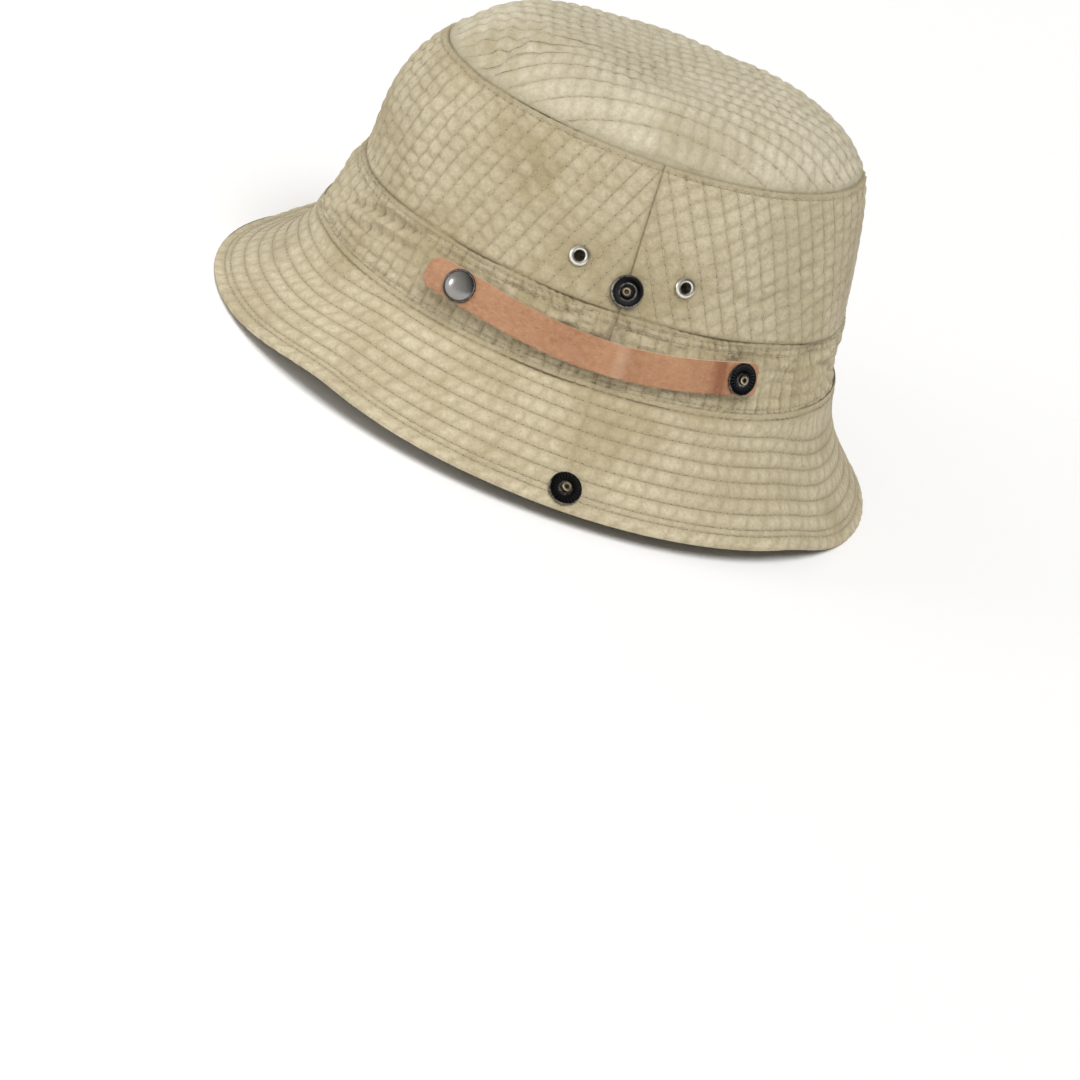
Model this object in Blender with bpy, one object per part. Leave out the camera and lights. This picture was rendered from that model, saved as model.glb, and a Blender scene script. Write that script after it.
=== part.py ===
"""Quilted cotton bucket hat with a snap-on leather side strap and snap-up brim sides.

Frame: metres, +Z up, -Y towards the wearer's face, +X towards the wearer's left. The hat
stands on the front and back of its brim's edge, which droop to z = 0; the crown leans a
little towards the face.
Angles round the hat are in degrees: 0 at the back, 90 at the wearer's left, 180 at the front.
"""

import math

import bmesh
import bpy
from mathutils import Matrix, Vector

MM = 0.001

# ---- driving dimensions, mm -------------------------------------------------------------
LEAN = 0.036  # rise of the crown's rings per mm towards the back
# each ring: half length (y), half width (x), height on the axis, shift in y
BRIM_SEAM = dict(a=104.0, b=87.8, z=39.2, y=0.9)
BAND_TOP = dict(a=95.4, b=77.8, z=65.25, y=0.1)
TIP_SEAM = dict(a=80.9, b=58.1, z=115.6, y=-2.3)
BRIM_EDGE = dict(a=133.9, b=120.8, z=6.5, y=0.0)  # z at the sides
# the edge droops to z = 0 at the front and back, between these cosines of the angle
DROOP_START, DROOP_END = 0.66, 0.94
TIP_LIFT_FRONT, TIP_LIFT_BACK = 1.4, 3.3  # the tip seam rises towards its ends
TIP_RISE = 20.7  # the dome of the tip above its seam
DOME_POWER = 5.0  # flat on top, turning down quickly near the seam
GAP = 0.3  # between pieces that touch

SHELL = 1.8  # quilted outer cloth with its wadding
LINING = 0.8
SWEATBAND = 1.2
SWEATBAND_DEPTH = 3.4  # from the outer face of the band to the sweatband
BRIM_LAYER = 1.3  # each of the brim's two layers
UNDER_DEPTH = BRIM_LAYER + GAP
UNDER_RAISE = 0.5  # the under layer and the side flaps end this far above the table
FLAP_RAISE = 0.5

STEP_DEG = 7.5  # width of one facet round the hat

FOLD_GAP_BRIM = 1.9  # fold axis above the brim's face, and the share of the whole gap
FOLD_GAP = 4.4  # face to face when the side is snapped up
SOCKET_UP = 36.0  # crown socket above the brim seam, measured along the cloth
STUD_DOWN = 38.8  # brim stud below the brim seam, measured along the cloth

EYELET_ANGLES = {"front": 102.1, "rear": 77.3}
EYELET_HEIGHTS = {"front": 0.265, "rear": 0.276}

STRAP_WIDTH = 12.0
STRAP_THICKNESS = 1.8
STRAP_REAR_END = 55.3  # degrees round the hat
STRAP_FRONT_END = 130.9
STRAP_FOLD = 66.0
STRAP_CAP_ANGLE = 122.4
STRAP_STUD_ANGLE = 59.8
STRAP_END_V = 0.54  # height in the band at its ends, 0 at the brim seam and 1 at the top
STRAP_MID_V = 0.42
STRAP_FOLD_RISE = 2.2  # fold axis outside the strap's outer face

COLORS = {
    "cloth": (0.56, 0.50, 0.36, 0.9, 0.0),
    "lining": (0.60, 0.55, 0.42, 0.9, 0.0),
    "tape": (0.50, 0.44, 0.31, 0.85, 0.0),
    "leather": (0.50, 0.24, 0.12, 0.55, 0.0),
    "black_metal": (0.03, 0.03, 0.03, 0.35, 1.0),
    "steel": (0.42, 0.40, 0.38, 0.22, 1.0),
    "brass": (0.62, 0.47, 0.27, 0.35, 1.0),
    "nickel": (0.80, 0.78, 0.70, 0.25, 1.0),
}


def material(name):
    if name in bpy.data.materials:
        return bpy.data.materials[name]
    r, g, b, rough, metal = COLORS[name]
    made = bpy.data.materials.new(name)
    made.use_nodes = True
    shader = made.node_tree.nodes["Principled BSDF"]
    shader.inputs["Base Color"].default_value = (r, g, b, 1.0)
    shader.inputs["Roughness"].default_value = rough
    shader.inputs["Metallic"].default_value = metal
    return made


def add_object(name, verts, faces, slot, smooth=True):
    """A closed mesh from points in mm and faces, its faces pointing out."""
    mesh = bpy.data.meshes.new(name)
    mesh.from_pydata([Vector(v) * MM for v in verts], [], faces)
    bm = bmesh.new()
    bm.from_mesh(mesh)
    bmesh.ops.triangulate(bm, faces=bm.faces[:])
    bmesh.ops.recalc_face_normals(bm, faces=bm.faces[:])
    if bm.calc_volume(signed=True) < 0:
        bmesh.ops.reverse_faces(bm, faces=bm.faces[:])
    bm.to_mesh(mesh)
    bm.free()
    if smooth:
        mesh.shade_smooth()
        mesh.set_sharp_from_angle(angle=math.radians(35))
    obj = bpy.data.objects.new(name, mesh)
    mesh.materials.append(material(slot))
    bpy.context.collection.objects.link(obj)
    return obj


# ---- the hat's surfaces -----------------------------------------------------------------
def smooth(t):
    t = min(max(t, 0.0), 1.0)
    return t * t * (3.0 - 2.0 * t)


def ring_point(ring, angle):
    t = math.radians(angle)
    along = math.cos(t)
    y = ring["y"] + ring["a"] * along
    z = ring["z"]
    if ring is BRIM_EDGE:
        z *= 1.0 - smooth((abs(along) - DROOP_START) / (DROOP_END - DROOP_START))
    else:
        z += LEAN * y
    if ring is TIP_SEAM:
        z += (TIP_LIFT_BACK if along > 0 else TIP_LIFT_FRONT) * along**2
    return Vector((ring["b"] * math.sin(t), y, z))


def wall_point(low, high, angle, v, depth=0.0):
    """On the wall between two rings: v runs 0 to 1 up from low; depth goes into the hat."""
    p = ring_point(low, angle).lerp(ring_point(high, angle), v)
    return p - wall_normal(low, high, angle, v) * depth


def wall_normal(low, high, angle, v):
    d = 0.5
    before = ring_point(low, angle - d).lerp(ring_point(high, angle - d), v)
    after = ring_point(low, angle + d).lerp(ring_point(high, angle + d), v)
    up = ring_point(high, angle) - ring_point(low, angle)
    # the angle runs from the back by the left to the front, so this points out
    return up.cross(after - before).normalized() * (-1.0 if up.z < 0 else 1.0)


def slant(low, high, angle=90.0):
    return (ring_point(high, angle) - ring_point(low, angle)).length


def surface_frame(low, high, angle, v):
    """A matrix in metres: origin on the outer face, Z out of it, Y up the cloth."""
    p = wall_point(low, high, angle, v)
    n = wall_normal(low, high, angle, v)
    up = ring_point(high, angle) - ring_point(low, angle)
    up = (up - n * up.dot(n)).normalized()
    side = up.cross(n)
    turn = Matrix((side, up, n)).transposed().to_4x4()
    return Matrix.Translation(p * MM) @ turn


def angles_between(start, end):
    count = max(2, round((end - start) / STEP_DEG))
    return [start + (end - start) * i / count for i in range(count + 1)]


def grid_faces(columns, rows, closed):
    """Faces of two stacked grids (outer then inner) joined round their edges."""
    faces = []
    size = columns * rows
    last = columns if closed else columns - 1

    def at(layer, i, j):
        return layer * size + (i % columns) * rows + j

    for i in range(last):
        for j in range(rows - 1):
            quad = [at(0, i, j), at(0, i + 1, j), at(0, i + 1, j + 1), at(0, i, j + 1)]
            faces.append(quad)
            faces.append([k + size for k in reversed(quad)])
        for j in (0, rows - 1):
            faces.append([at(0, i, j), at(0, i + 1, j), at(1, i + 1, j), at(1, i, j)])
    if not closed:
        for i in (0, columns - 1):
            for j in range(rows - 1):
                faces.append([at(0, i, j), at(0, i, j + 1), at(1, i, j + 1), at(1, i, j)])
    return faces


def wall_panel(name, low, high, start, end, v0, v1, rows, depths, slot):
    """A bent panel of cloth between two angles; a full turn makes a closed loop."""
    closed = end - start >= 360.0
    angles = angles_between(start, end)
    if closed:
        angles = angles[:-1]
    verts = []
    for depth in depths:
        for angle in angles:
            for j in range(rows):
                v = v0 + (v1 - v0) * j / (rows - 1)
                verts.append(wall_point(low, high, angle, v, depth))
    return add_object(name, verts, grid_faces(len(angles), rows, closed), slot)


def dome_point(angle, share, depth):
    """On the tip: share is 0 in its middle and 1 at its seam."""
    rim = ring_point(TIP_SEAM, angle)
    middle = Vector((0.0, TIP_SEAM["y"], TIP_SEAM["z"] + LEAN * TIP_SEAM["y"]))
    p = middle.lerp(rim, share)
    p.z += TIP_RISE * (1.0 - share**DOME_POWER) - depth
    return p


def dome(name, edge_shares, depths, slot):
    """The tip, or its lining: two domes joined round their edge."""
    angles = angles_between(0.0, 360.0)[:-1]
    shares = [0.4, 0.68, 0.84, 0.94]
    rows = len(shares) + 1
    verts = []
    for edge, depth in zip(edge_shares, depths):
        for angle in angles:
            verts += [dome_point(angle, s, depth) for s in shares + [edge]]
    columns = len(angles)
    size = columns * rows
    faces = []
    for i in range(columns):
        k = (i + 1) % columns
        for j in range(rows - 1):
            quad = [i * rows + j, k * rows + j, k * rows + j + 1, i * rows + j + 1]
            faces.append(quad)
            faces.append([n + size for n in reversed(quad)])
        edge = rows - 1
        faces.append([i * rows + edge, k * rows + edge, size + k * rows + edge, size + i * rows + edge])
    for layer, depth in enumerate(depths):
        verts.append(dome_point(0.0, 0.0, depth))
        for i in range(columns):
            k = (i + 1) % columns
            faces.append([layer * size + i * rows, layer * size + k * rows, len(verts) - 1])
    return add_object(name, verts, faces, slot)


# ---- cutting ----------------------------------------------------------------------------
def cutter_box(name, low, high):
    xs, ys, zs = zip(low, high)
    verts = [(x, y, z) for x in xs for y in ys for z in zs]
    faces = [[0, 1, 3, 2], [4, 6, 7, 5], [0, 4, 5, 1], [2, 3, 7, 6], [0, 2, 6, 4], [1, 5, 7, 3]]
    return hide_cutter(add_object(name, verts, faces, "cloth", smooth=False))


def cutter_rod(name, place, radius, low, high, segments=12):
    rod = turned(name, [(0, low), (radius, low), (radius, high), (0, high)], place, "steel", segments)
    return hide_cutter(rod)


def hide_cutter(obj):
    obj.hide_render = True
    obj.display_type = "WIRE"
    return obj


def boolean(obj, cutter, operation="DIFFERENCE"):
    change = obj.modifiers.new("cut_" + cutter.name, "BOOLEAN")
    change.operation = operation
    change.solver = "EXACT"
    change.object = cutter
    return obj


# ---- turned metal pieces ----------------------------------------------------------------
def turned(name, profile, place, slot, segments=20):
    """A solid turned about Z of place. profile is (radius, height) in mm; ends on the axis close it."""
    on_axis = profile[0][0] == 0 and profile[-1][0] == 0
    verts, rings = [], []
    for radius, height in profile:
        if radius == 0:
            verts.append((0.0, 0.0, height))
            rings.append([len(verts) - 1] * segments)
            continue
        rings.append(list(range(len(verts), len(verts) + segments)))
        for i in range(segments):
            turn = 2 * math.pi * i / segments
            verts.append((radius * math.cos(turn), radius * math.sin(turn), height))
    pairs = list(zip(rings, rings[1:]))
    if not on_axis:
        pairs.append((rings[-1], rings[0]))
    faces = []
    for lower, upper in pairs:
        for i in range(segments):
            k = (i + 1) % segments
            loop = [lower[i], lower[k], upper[k], upper[i]]
            faces.append([n for at, n in enumerate(loop) if n not in loop[:at]])
    obj = add_object(name, verts, faces, slot)
    obj.matrix_world = place
    return obj


def snap_stud_disc(name, place):
    """The black dished disc of a stud, on the cloth's face."""
    disc = [(1.9, 0.3), (5.2, 0.3), (5.9, 0.55), (5.9, 1.0), (5.3, 1.3), (3.2, 1.0), (1.9, 1.3)]
    return turned(name, disc, place, "black_metal", 18)


def hollow_post(name, place, depth, post_top, slot, base=5.0):
    """The post set from behind: a flat head at depth and a tube that stands above the face."""
    profile = [
        (0.8, -depth),
        (0.8, post_top),
        (1.5, post_top),
        (1.5, -depth),
        (base, -depth),
        (base, -depth - 0.55),
        (0.8, -depth - 0.55),
    ]
    return turned(name, profile, place, slot, 14)


def snap_socket(name, place):
    """A raised ring with an open well."""
    ring = [(2.6, 0.9), (2.6, 2.6), (3.6, 2.6), (5.2, 2.2), (5.9, 1.2), (5.9, 0.3), (1.9, 0.3), (1.9, 0.9)]
    return turned(name, ring, place, "black_metal", 18)


def eyelet(name, place, depth):
    """A rolled flange with its barrel down to the inside."""
    ring = [(1.9, -depth - 0.9), (1.9, 0.9), (2.5, 1.3), (3.2, 1.1), (3.7, 0.3), (2.4, 0.3), (2.4, -depth - 0.9)]
    return turned(name, ring, place, "nickel", 14)


def washer(name, place, depth):
    ring = [(2.7, -depth), (3.7, -depth), (3.9, -depth - 0.3), (3.6, -depth - 0.6), (2.7, -depth - 0.6)]
    return turned(name, ring, place, "nickel", 14)


# ---- the cloth of the crown --------------------------------------------------------------
def build_crown():
    edge = 0.10  # half the gap at a side seam, degrees
    crown_gap = GAP / slant(BAND_TOP, TIP_SEAM) / 2
    band_gap = GAP / slant(BRIM_SEAM, BAND_TOP) / 2
    halves = {"front": (90 + edge, 270 - edge), "back": (-90 + edge, 90 - edge)}
    made = {}
    for side, (start, end) in halves.items():
        name = "crown_side_" + side
        made[name] = wall_panel(
            name, BAND_TOP, TIP_SEAM, start, end, crown_gap, 1 - crown_gap * 2, 4, (0, SHELL), "cloth"
        )
        name = "band_" + side
        made[name] = wall_panel(
            name, BRIM_SEAM, BAND_TOP, start, end, band_gap, 1 - band_gap, 3, (0, SHELL), "cloth"
        )
        name = "lining_side_" + side
        depths = (SHELL + GAP, SHELL + GAP + LINING)
        made[name] = wall_panel(name, BAND_TOP, TIP_SEAM, start, end, 0.02, 0.93, 4, depths, "lining")
    dome("crown_tip", (0.997, 0.97), (0.0, SHELL), "cloth")
    dome("lining_tip", (0.955, 0.945), (SHELL + GAP * 2, SHELL + GAP * 2 + LINING), "lining")
    depths = (SWEATBAND_DEPTH, SWEATBAND_DEPTH + SWEATBAND)
    wall_panel("sweatband", BRIM_SEAM, BAND_TOP, 0.0, 360.0, 0.05, 0.97, 3, depths, "tape")
    return made


# ---- the brim ---------------------------------------------------------------------------
def brim_point(angle, v, depth, raise_edge):
    """v is 0 at the brim seam and 1 at the edge, which ends in a flat face."""
    p = wall_point(BRIM_EDGE, BRIM_SEAM, angle, 1 - v, depth)
    if v < 1:
        return p
    edge = ring_point(BRIM_EDGE, angle)
    down = edge - ring_point(BRIM_SEAM, angle)
    return p - down * ((p.z - edge.z - raise_edge) / down.z)


def brim_layer(name, depths, raise_edge, slot="cloth"):
    angles = angles_between(0.0, 360.0)[:-1]
    first = GAP / slant(BRIM_EDGE, BRIM_SEAM) / 2
    verts = []
    for depth in depths:
        for angle in angles:
            verts += [brim_point(angle, v, depth, raise_edge) for v in (first, 0.5, 1.0)]
    return add_object(name, verts, grid_faces(len(angles), 3, True), slot)


def fold_axis():
    """Where a side of the brim folds up: (x, z) of the axis in mm, and the angle it turns."""
    seam = ring_point(BRIM_SEAM, 90)
    down = (ring_point(BRIM_EDGE, 90) - seam).normalized()
    up = (ring_point(TIP_SEAM, 90) - seam).normalized()
    turn = math.degrees(math.atan2(up.z, up.x) - math.atan2(down.z, down.x))
    out = Vector((-down.z, 0, down.x))
    # the stud and the socket must be the same distance from the fold
    c, s = math.cos(math.radians(turn)), math.sin(math.radians(turn))
    along = (STUD_DOWN - SOCKET_UP + FOLD_GAP_BRIM * s) / (1 - c)
    spot = seam + down * along + out * FOLD_GAP_BRIM
    return spot.x, spot.z, turn


def build_brim():
    cut_x = fold_axis()[0]
    far, half = 200.0, GAP / 2
    cutters = {
        "front": cutter_box("cut_front", (-cut_x + half, -far, -9), (cut_x - half, -half, 90)),
        "back": cutter_box("cut_back", (-cut_x + half, half, -9), (cut_x - half, far, 90)),
        "left": cutter_box("cut_left", (cut_x + half, -far, -9), (far, far, 90)),
        "right": cutter_box("cut_right", (-far, -far, -9), (-cut_x - half, far, 90)),
    }
    layers = {"upper": (0.0, BRIM_LAYER), "under": (UNDER_DEPTH, UNDER_DEPTH + BRIM_LAYER)}
    made = {}
    for layer, depths in layers.items():
        for part, cutter in cutters.items():
            is_flap = part in ("left", "right")
            name = ("flap_" if is_flap else "brim_") + part + "_" + layer
            lifted = FLAP_RAISE if is_flap or layer == "under" else 0.0
            made[name] = boolean(brim_layer(name, depths, lifted), cutter, "INTERSECT")
    return made


# ---- snaps and eyelets on the sides -------------------------------------------------------
def side_frame(low, high, v):
    """As surface_frame, in the plane across the hat, where both snaps of a side meet."""
    place = surface_frame(low, high, 90.0, v)
    place.translation.y = 0.0
    return place


def crown_socket_frame():
    v = (SOCKET_UP - slant(BRIM_SEAM, BAND_TOP)) / slant(BAND_TOP, TIP_SEAM)
    return side_frame(BAND_TOP, TIP_SEAM, v)


def brim_stud_frame():
    return side_frame(BRIM_EDGE, BRIM_SEAM, 1 - STUD_DOWN / slant(BRIM_EDGE, BRIM_SEAM))


MIRROR = Matrix.Scale(-1, 4, Vector((1, 0, 0)))


def mirrored(place):
    """The same place on the wearer's right, still a right-handed frame."""
    return MIRROR @ place @ MIRROR


def drill(pieces, names, place, radius, tag):
    rod = cutter_rod("drill_" + tag, place, radius, -9.0, 6.0)
    for name in names:
        boolean(pieces[name], rod)


def build_side_metal(pieces):
    through = SHELL + GAP + LINING
    brim_depth = UNDER_DEPTH + BRIM_LAYER
    crown_parts = [n for n in pieces if n.startswith(("crown_side", "lining_side"))]
    for side in ("left", "right"):
        turn = (lambda m: m) if side == "left" else mirrored
        socket = turn(crown_socket_frame())
        snap_socket("crown_socket_" + side, socket)
        hollow_post("crown_socket_post_" + side, socket, through + 0.75, 0.75, "brass", 4.6)
        drill(pieces, crown_parts, socket, 1.85, "socket_" + side)

        stud = turn(brim_stud_frame())
        snap_stud_disc("brim_stud_disc_" + side, stud)
        hollow_post("brim_stud_post_" + side, stud, brim_depth + 0.4, 3.2, "brass", 3.4)
        drill(pieces, [f"flap_{side}_upper", f"flap_{side}_under"], stud, 1.85, "stud_" + side)

        for end, angle in EYELET_ANGLES.items():
            place = turn(surface_frame(BAND_TOP, TIP_SEAM, angle, EYELET_HEIGHTS[end]))
            panel = "front" if end == "front" else "back"
            eyelet(f"eyelet_{end}_{side}", place, through)
            washer(f"eyelet_washer_{end}_{side}", place, through + 0.6)
            names = ["crown_side_" + panel, "lining_side_" + panel]
            drill(pieces, names, place, 2.75, f"eyelet_{end}_{side}")


# ---- the leather strap ---------------------------------------------------------------------
def strap_v(angle):
    """Height of the strap's middle in the band: it sags between its snaps."""
    share = (angle - STRAP_STUD_ANGLE) / (STRAP_CAP_ANGLE - STRAP_STUD_ANGLE)
    share = min(1.0, max(0.0, share))
    return STRAP_END_V - (STRAP_END_V - STRAP_MID_V) * math.sin(math.pi * share) ** 1.2


def strap_standoff(angle):
    """Underside of the strap above the band: close at the rear stud, on the snap in front."""
    share = min(1.0, max(0.0, (angle - STRAP_FOLD) / (114.0 - STRAP_FOLD)))
    return 0.45 + 1.95 * share**1.6


def strap_section(angle, half_width):
    place = surface_frame(BRIM_SEAM, BAND_TOP, angle, strap_v(angle))
    low = strap_standoff(angle)
    points = []
    for x, z in ((-1, 0), (1, 0), (1, 1), (-1, 1)):
        local = Vector((0.0, x * half_width, low + z * STRAP_THICKNESS))
        points.append((place @ (local * MM)) / MM)
    return points


def strap_half_width(distance, radius):
    """Half width at a distance from a rounded end."""
    half = STRAP_WIDTH / 2
    if distance >= radius:
        return half
    return half - radius + math.sqrt(max(0.0, radius**2 - (radius - distance) ** 2))


def strap_piece(name, start, end, front_round, rear_round):
    per_degree = 1.56  # mm of strap to a degree, near enough for its rounded ends
    angles = angles_between(start, end)
    angles += [end - d / per_degree for d in (0.05, 0.5, 1.4, 3.0) if front_round]
    angles += [start + d / per_degree for d in (0.05, 0.4, 1.0) if rear_round]
    angles = sorted(set(angles))
    sections = []
    for angle in angles:
        half = STRAP_WIDTH / 2
        if front_round:
            half = min(half, strap_half_width((end - angle) * per_degree + 0.2, front_round))
        if rear_round:
            half = min(half, strap_half_width((angle - start) * per_degree + 0.2, rear_round))
        sections.append(strap_section(angle, half))
    verts = [p for section in sections for p in section]
    faces = [[0, 1, 2, 3], [len(verts) - k for k in (1, 2, 3, 4)]]
    for i in range(len(sections) - 1):
        for j in range(4):
            k = (j + 1) % 4
            faces.append([i * 4 + j, i * 4 + k, i * 4 + 4 + k, i * 4 + 4 + j])
    return add_object(name, verts, faces, "leather")


def build_strap(pieces):
    half_gap = 0.1
    front = strap_piece("strap_front", STRAP_FOLD + half_gap, STRAP_FRONT_END, 5.0, 0)
    rear = strap_piece("strap_rear", STRAP_REAR_END, STRAP_FOLD - half_gap, 0, 2.5)
    pieces["strap_front"], pieces["strap_rear"] = front, rear

    place = surface_frame(BRIM_SEAM, BAND_TOP, STRAP_CAP_ANGLE, strap_v(STRAP_CAP_ANGLE))
    under = strap_standoff(STRAP_CAP_ANGLE)
    face = under + STRAP_THICKNESS
    cap = [(0, face + 2.9), (2.4, face + 2.7), (4.4, face + 1.9), (5.5, face + 0.9)]
    cap += [(6.0, face + 0.6), (6.0, face + 0.25), (1.5, face + 0.25), (1.5, under - 0.1), (0, under - 0.1)]
    turned("strap_cap", cap, place, "steel", 18)
    socket = [(2.6, under - 1.25), (2.6, under - 0.55), (5.0, under - 0.55), (5.0, under - 1.25)]
    turned("strap_socket", socket, place, "black_metal", 16)
    stud = [(1.8, 0.25), (5.0, 0.25), (5.0, 0.85), (1.8, 0.85)]
    turned("band_stud_disc", stud, place, "black_metal", 16)
    hollow_post("band_stud_post", place, SHELL + 0.7, 2.0, "brass", 4.6)
    drill(pieces, ["strap_front", "band_front"], place, 1.85, "cap")

    place = surface_frame(BRIM_SEAM, BAND_TOP, STRAP_STUD_ANGLE, strap_v(STRAP_STUD_ANGLE))
    top = strap_standoff(STRAP_STUD_ANGLE) + STRAP_THICKNESS
    lifted = place @ Matrix.Translation(Vector((0, 0, top * MM)))
    snap_stud_disc("strap_stud_disc", lifted)
    hollow_post("strap_stud_post", place, SHELL + 0.7, top + 2.4, "brass", 4.6)
    drill(pieces, ["strap_rear", "band_back"], place, 1.85, "strap_stud")


def main():
    for obj in list(bpy.data.objects):
        bpy.data.objects.remove(obj, do_unlink=True)
    pieces = build_crown()
    pieces.update(build_brim())
    build_side_metal(pieces)
    build_strap(pieces)


main()
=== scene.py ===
"""Looks of the quilted bucket hat: puckered cloth, stitches, leather strap and snap metal.

Lengths are in millimetres until a mesh is made. T is the angle round the hat in degrees: 0 at
the back, 90 at the wearer's left, 180 at the front. w runs down a panel from 0 to 1.
"""
import math

import bmesh
import bpy
import numpy as np
from mathutils import Matrix, Vector


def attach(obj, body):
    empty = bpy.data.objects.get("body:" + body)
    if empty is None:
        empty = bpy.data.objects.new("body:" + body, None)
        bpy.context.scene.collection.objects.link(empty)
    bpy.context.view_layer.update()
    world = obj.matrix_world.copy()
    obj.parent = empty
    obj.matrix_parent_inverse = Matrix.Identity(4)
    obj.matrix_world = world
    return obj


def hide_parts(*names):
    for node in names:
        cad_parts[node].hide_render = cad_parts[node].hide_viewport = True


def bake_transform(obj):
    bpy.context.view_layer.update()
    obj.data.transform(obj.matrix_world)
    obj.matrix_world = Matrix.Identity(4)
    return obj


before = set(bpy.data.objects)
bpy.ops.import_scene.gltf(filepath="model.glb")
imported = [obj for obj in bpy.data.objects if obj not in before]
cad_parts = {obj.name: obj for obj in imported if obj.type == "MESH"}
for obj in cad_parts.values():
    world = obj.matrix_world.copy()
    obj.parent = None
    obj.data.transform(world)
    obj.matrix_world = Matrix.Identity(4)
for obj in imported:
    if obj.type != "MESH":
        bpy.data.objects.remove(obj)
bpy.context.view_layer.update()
MM = 0.001

# ---- shape, as in the part -----------------------------------------------------------------
LEAN = 0.036
TIP_SEAM = dict(a=80.9, b=58.1, z=115.6, y=-2.3)
BAND_TOP = dict(a=95.4, b=77.8, z=65.25, y=0.1)
BRIM_SEAM = dict(a=104.0, b=87.8, z=39.2, y=0.9)
BRIM_EDGE = dict(a=133.9, b=120.8, z=6.5, y=0.0)
DROOP_START, DROOP_END = 0.66, 0.94
TIP_LIFT_FRONT, TIP_LIFT_BACK = 1.4, 3.3
TIP_RISE, DOME_POWER = 20.7, 5.0
SHELL, LINING, SWEATBAND = 1.8, 0.5, 1.2
LINING_DEPTH, TIP_LINING_DEPTH, SWEATBAND_DEPTH = 2.9, 2.5, 3.4
BRIM_THICK = 2.9
SOCKET_UP, STUD_DOWN = 36.0, 38.8
EYELETS = ((102.1, 0.735), (77.3, 0.724))
STRAP_WIDTH, STRAP_THICK = 12.0, 1.8
STRAP_REAR_END, STRAP_FRONT_END, STRAP_FOLD = 55.3, 130.9, 66.0
STRAP_CAP, STRAP_STUD = 122.4, 59.8
STRAP_END_V, STRAP_MID_V = 0.54, 0.42
STRAP_PER_DEGREE = 1.56  # length of the strap over one degree round the hat
STRAP_BEND = (64.2, 70.0)  # T where the strap starts and stops bending as it swings

# ---- cloth ---------------------------------------------------------------------------------
BELLY_FRONT, BELLY_BACK, BAND_PINCH = 4.8, 1.9, 1.5  # soft bulge of the crown, dip of the band
BRIM_SAG_FRONT, BRIM_SAG_BACK = 4.4, 4.8  # how far the brim hollows at its front and back
BRIM_PULL_FRONT, BRIM_PULL_BACK = 2.8, 0.6  # how far its edge curls in there
SEAM_DIP = 2.0  # how far the seam above the brim is drawn in at the back
BRIM_WAVES = ((144, 21, 3.5), (214, 20, -2.6), (316, 22, 1.8), (32, 18, 0.8))  # T, width, lift
BRIM_HOLLOWS = ((213, 26, 3.4), (250, 20, 0.8))  # T, width, depth
KINK_T, KINK = 148.0, 1.5  # where the fold of the tip pulls its seam in
FOLD = ((31.0, -71.5), (29.0, -65.0), (24.0, -60.0), (10.0, -53.0), (-8.0, -49.0))  # its line
LINE_PITCH = 6.0  # between quilting lines
PUCKER = 5.4  # length of one pucker along a line
STITCH_PITCH, STITCH_LONG, THREAD = 3.0, 2.3, 0.19
STITCH_CLEAR = 4.6  # no stitch this near the middle of a fitting
EYELET_HOLE = 2.9  # radius cut out of the cloth
CROWN_ROW = 2.3  # the row of topstitching below the tip's seam
BAND_ROWS_TOP, BAND_ROWS_LOW = (2.0, 4.4), (1.8, 3.6)
BRIM_ROWS = (5.0, 7.3, 13.0, 18.8, 24.6, 30.4, 36.2, 41.4)  # from the edge up
# points along and across each cloth, for under 200,000 faces a piece
TIP_GRID, SIDE_GRID, BAND_GRID, BRIM_GRID = (560, 88), (470, 94), (600, 58), (600, 81)
TIP_LINING_GRID, LINING_GRID, SWEATBAND_GRID = (240, 60), (300, 60), (480, 26)
# w from the top to the low edge of each; the tip's start beside its middle
WHOLE, TIP_REACH, TIP_LINING_REACH = (0, 1), (0.02, 1), (0.02, 0.95)
BAND_REACH, BRIM_REACH = (-0.04, 1), (-0.045, 1)
LINING_REACH, SWEATBAND_REACH = (0.07, 0.98), (0.03, 0.95)


def smooth(t):
    t = np.clip(t, 0.0, 1.0)
    return t * t * (3 - 2 * t)


def bell(d, width):
    return np.exp(-((d / width) ** 2))


def apart(T, angle):
    """Degrees round from angle to T, between -180 and 180."""
    return (T - angle + 180.0) % 360.0 - 180.0


def noise(points, scale, seed, count=9):
    """Smooth noise of about unit range in space, from waves about scale mm long."""
    rng = np.random.default_rng(seed)
    k = rng.normal(size=(count, 3))
    k *= (2 * np.pi / scale * rng.uniform(0.7, 1.3, count) / np.linalg.norm(k, axis=1))[:, None]
    start = rng.uniform(0, 2 * np.pi, count)
    return np.sin(points @ k.T + start).sum(-1) / math.sqrt(count)


# ---- surfaces ------------------------------------------------------------------------------
def ring(shape, T):
    c, s = np.cos(np.radians(T)), np.sin(np.radians(T))
    y = shape["y"] + shape["a"] * c
    z = np.full_like(y, shape["z"])
    if shape is BRIM_EDGE:
        z = z * (1 - smooth((np.abs(c) - DROOP_START) / (DROOP_END - DROOP_START)))
    else:
        z = z + LEAN * y
    x = shape["b"] * s
    if shape is BRIM_SEAM:
        y = y - SEAM_DIP * smooth((c - 0.5) / 0.5)
    if shape is TIP_SEAM:
        z = z + np.where(c > 0, TIP_LIFT_BACK, TIP_LIFT_FRONT) * c**2
        kink = KINK * bell(T - KINK_T, 5.0)
        x, y, z = x - kink * s, y - kink * c, z - 0.7 * kink
    return np.stack([x, y, z], -1)


def wall(high, low):
    def base(T, w):
        return ring(high, T) * (1 - w)[..., None] + ring(low, T) * w[..., None]

    return base


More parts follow.
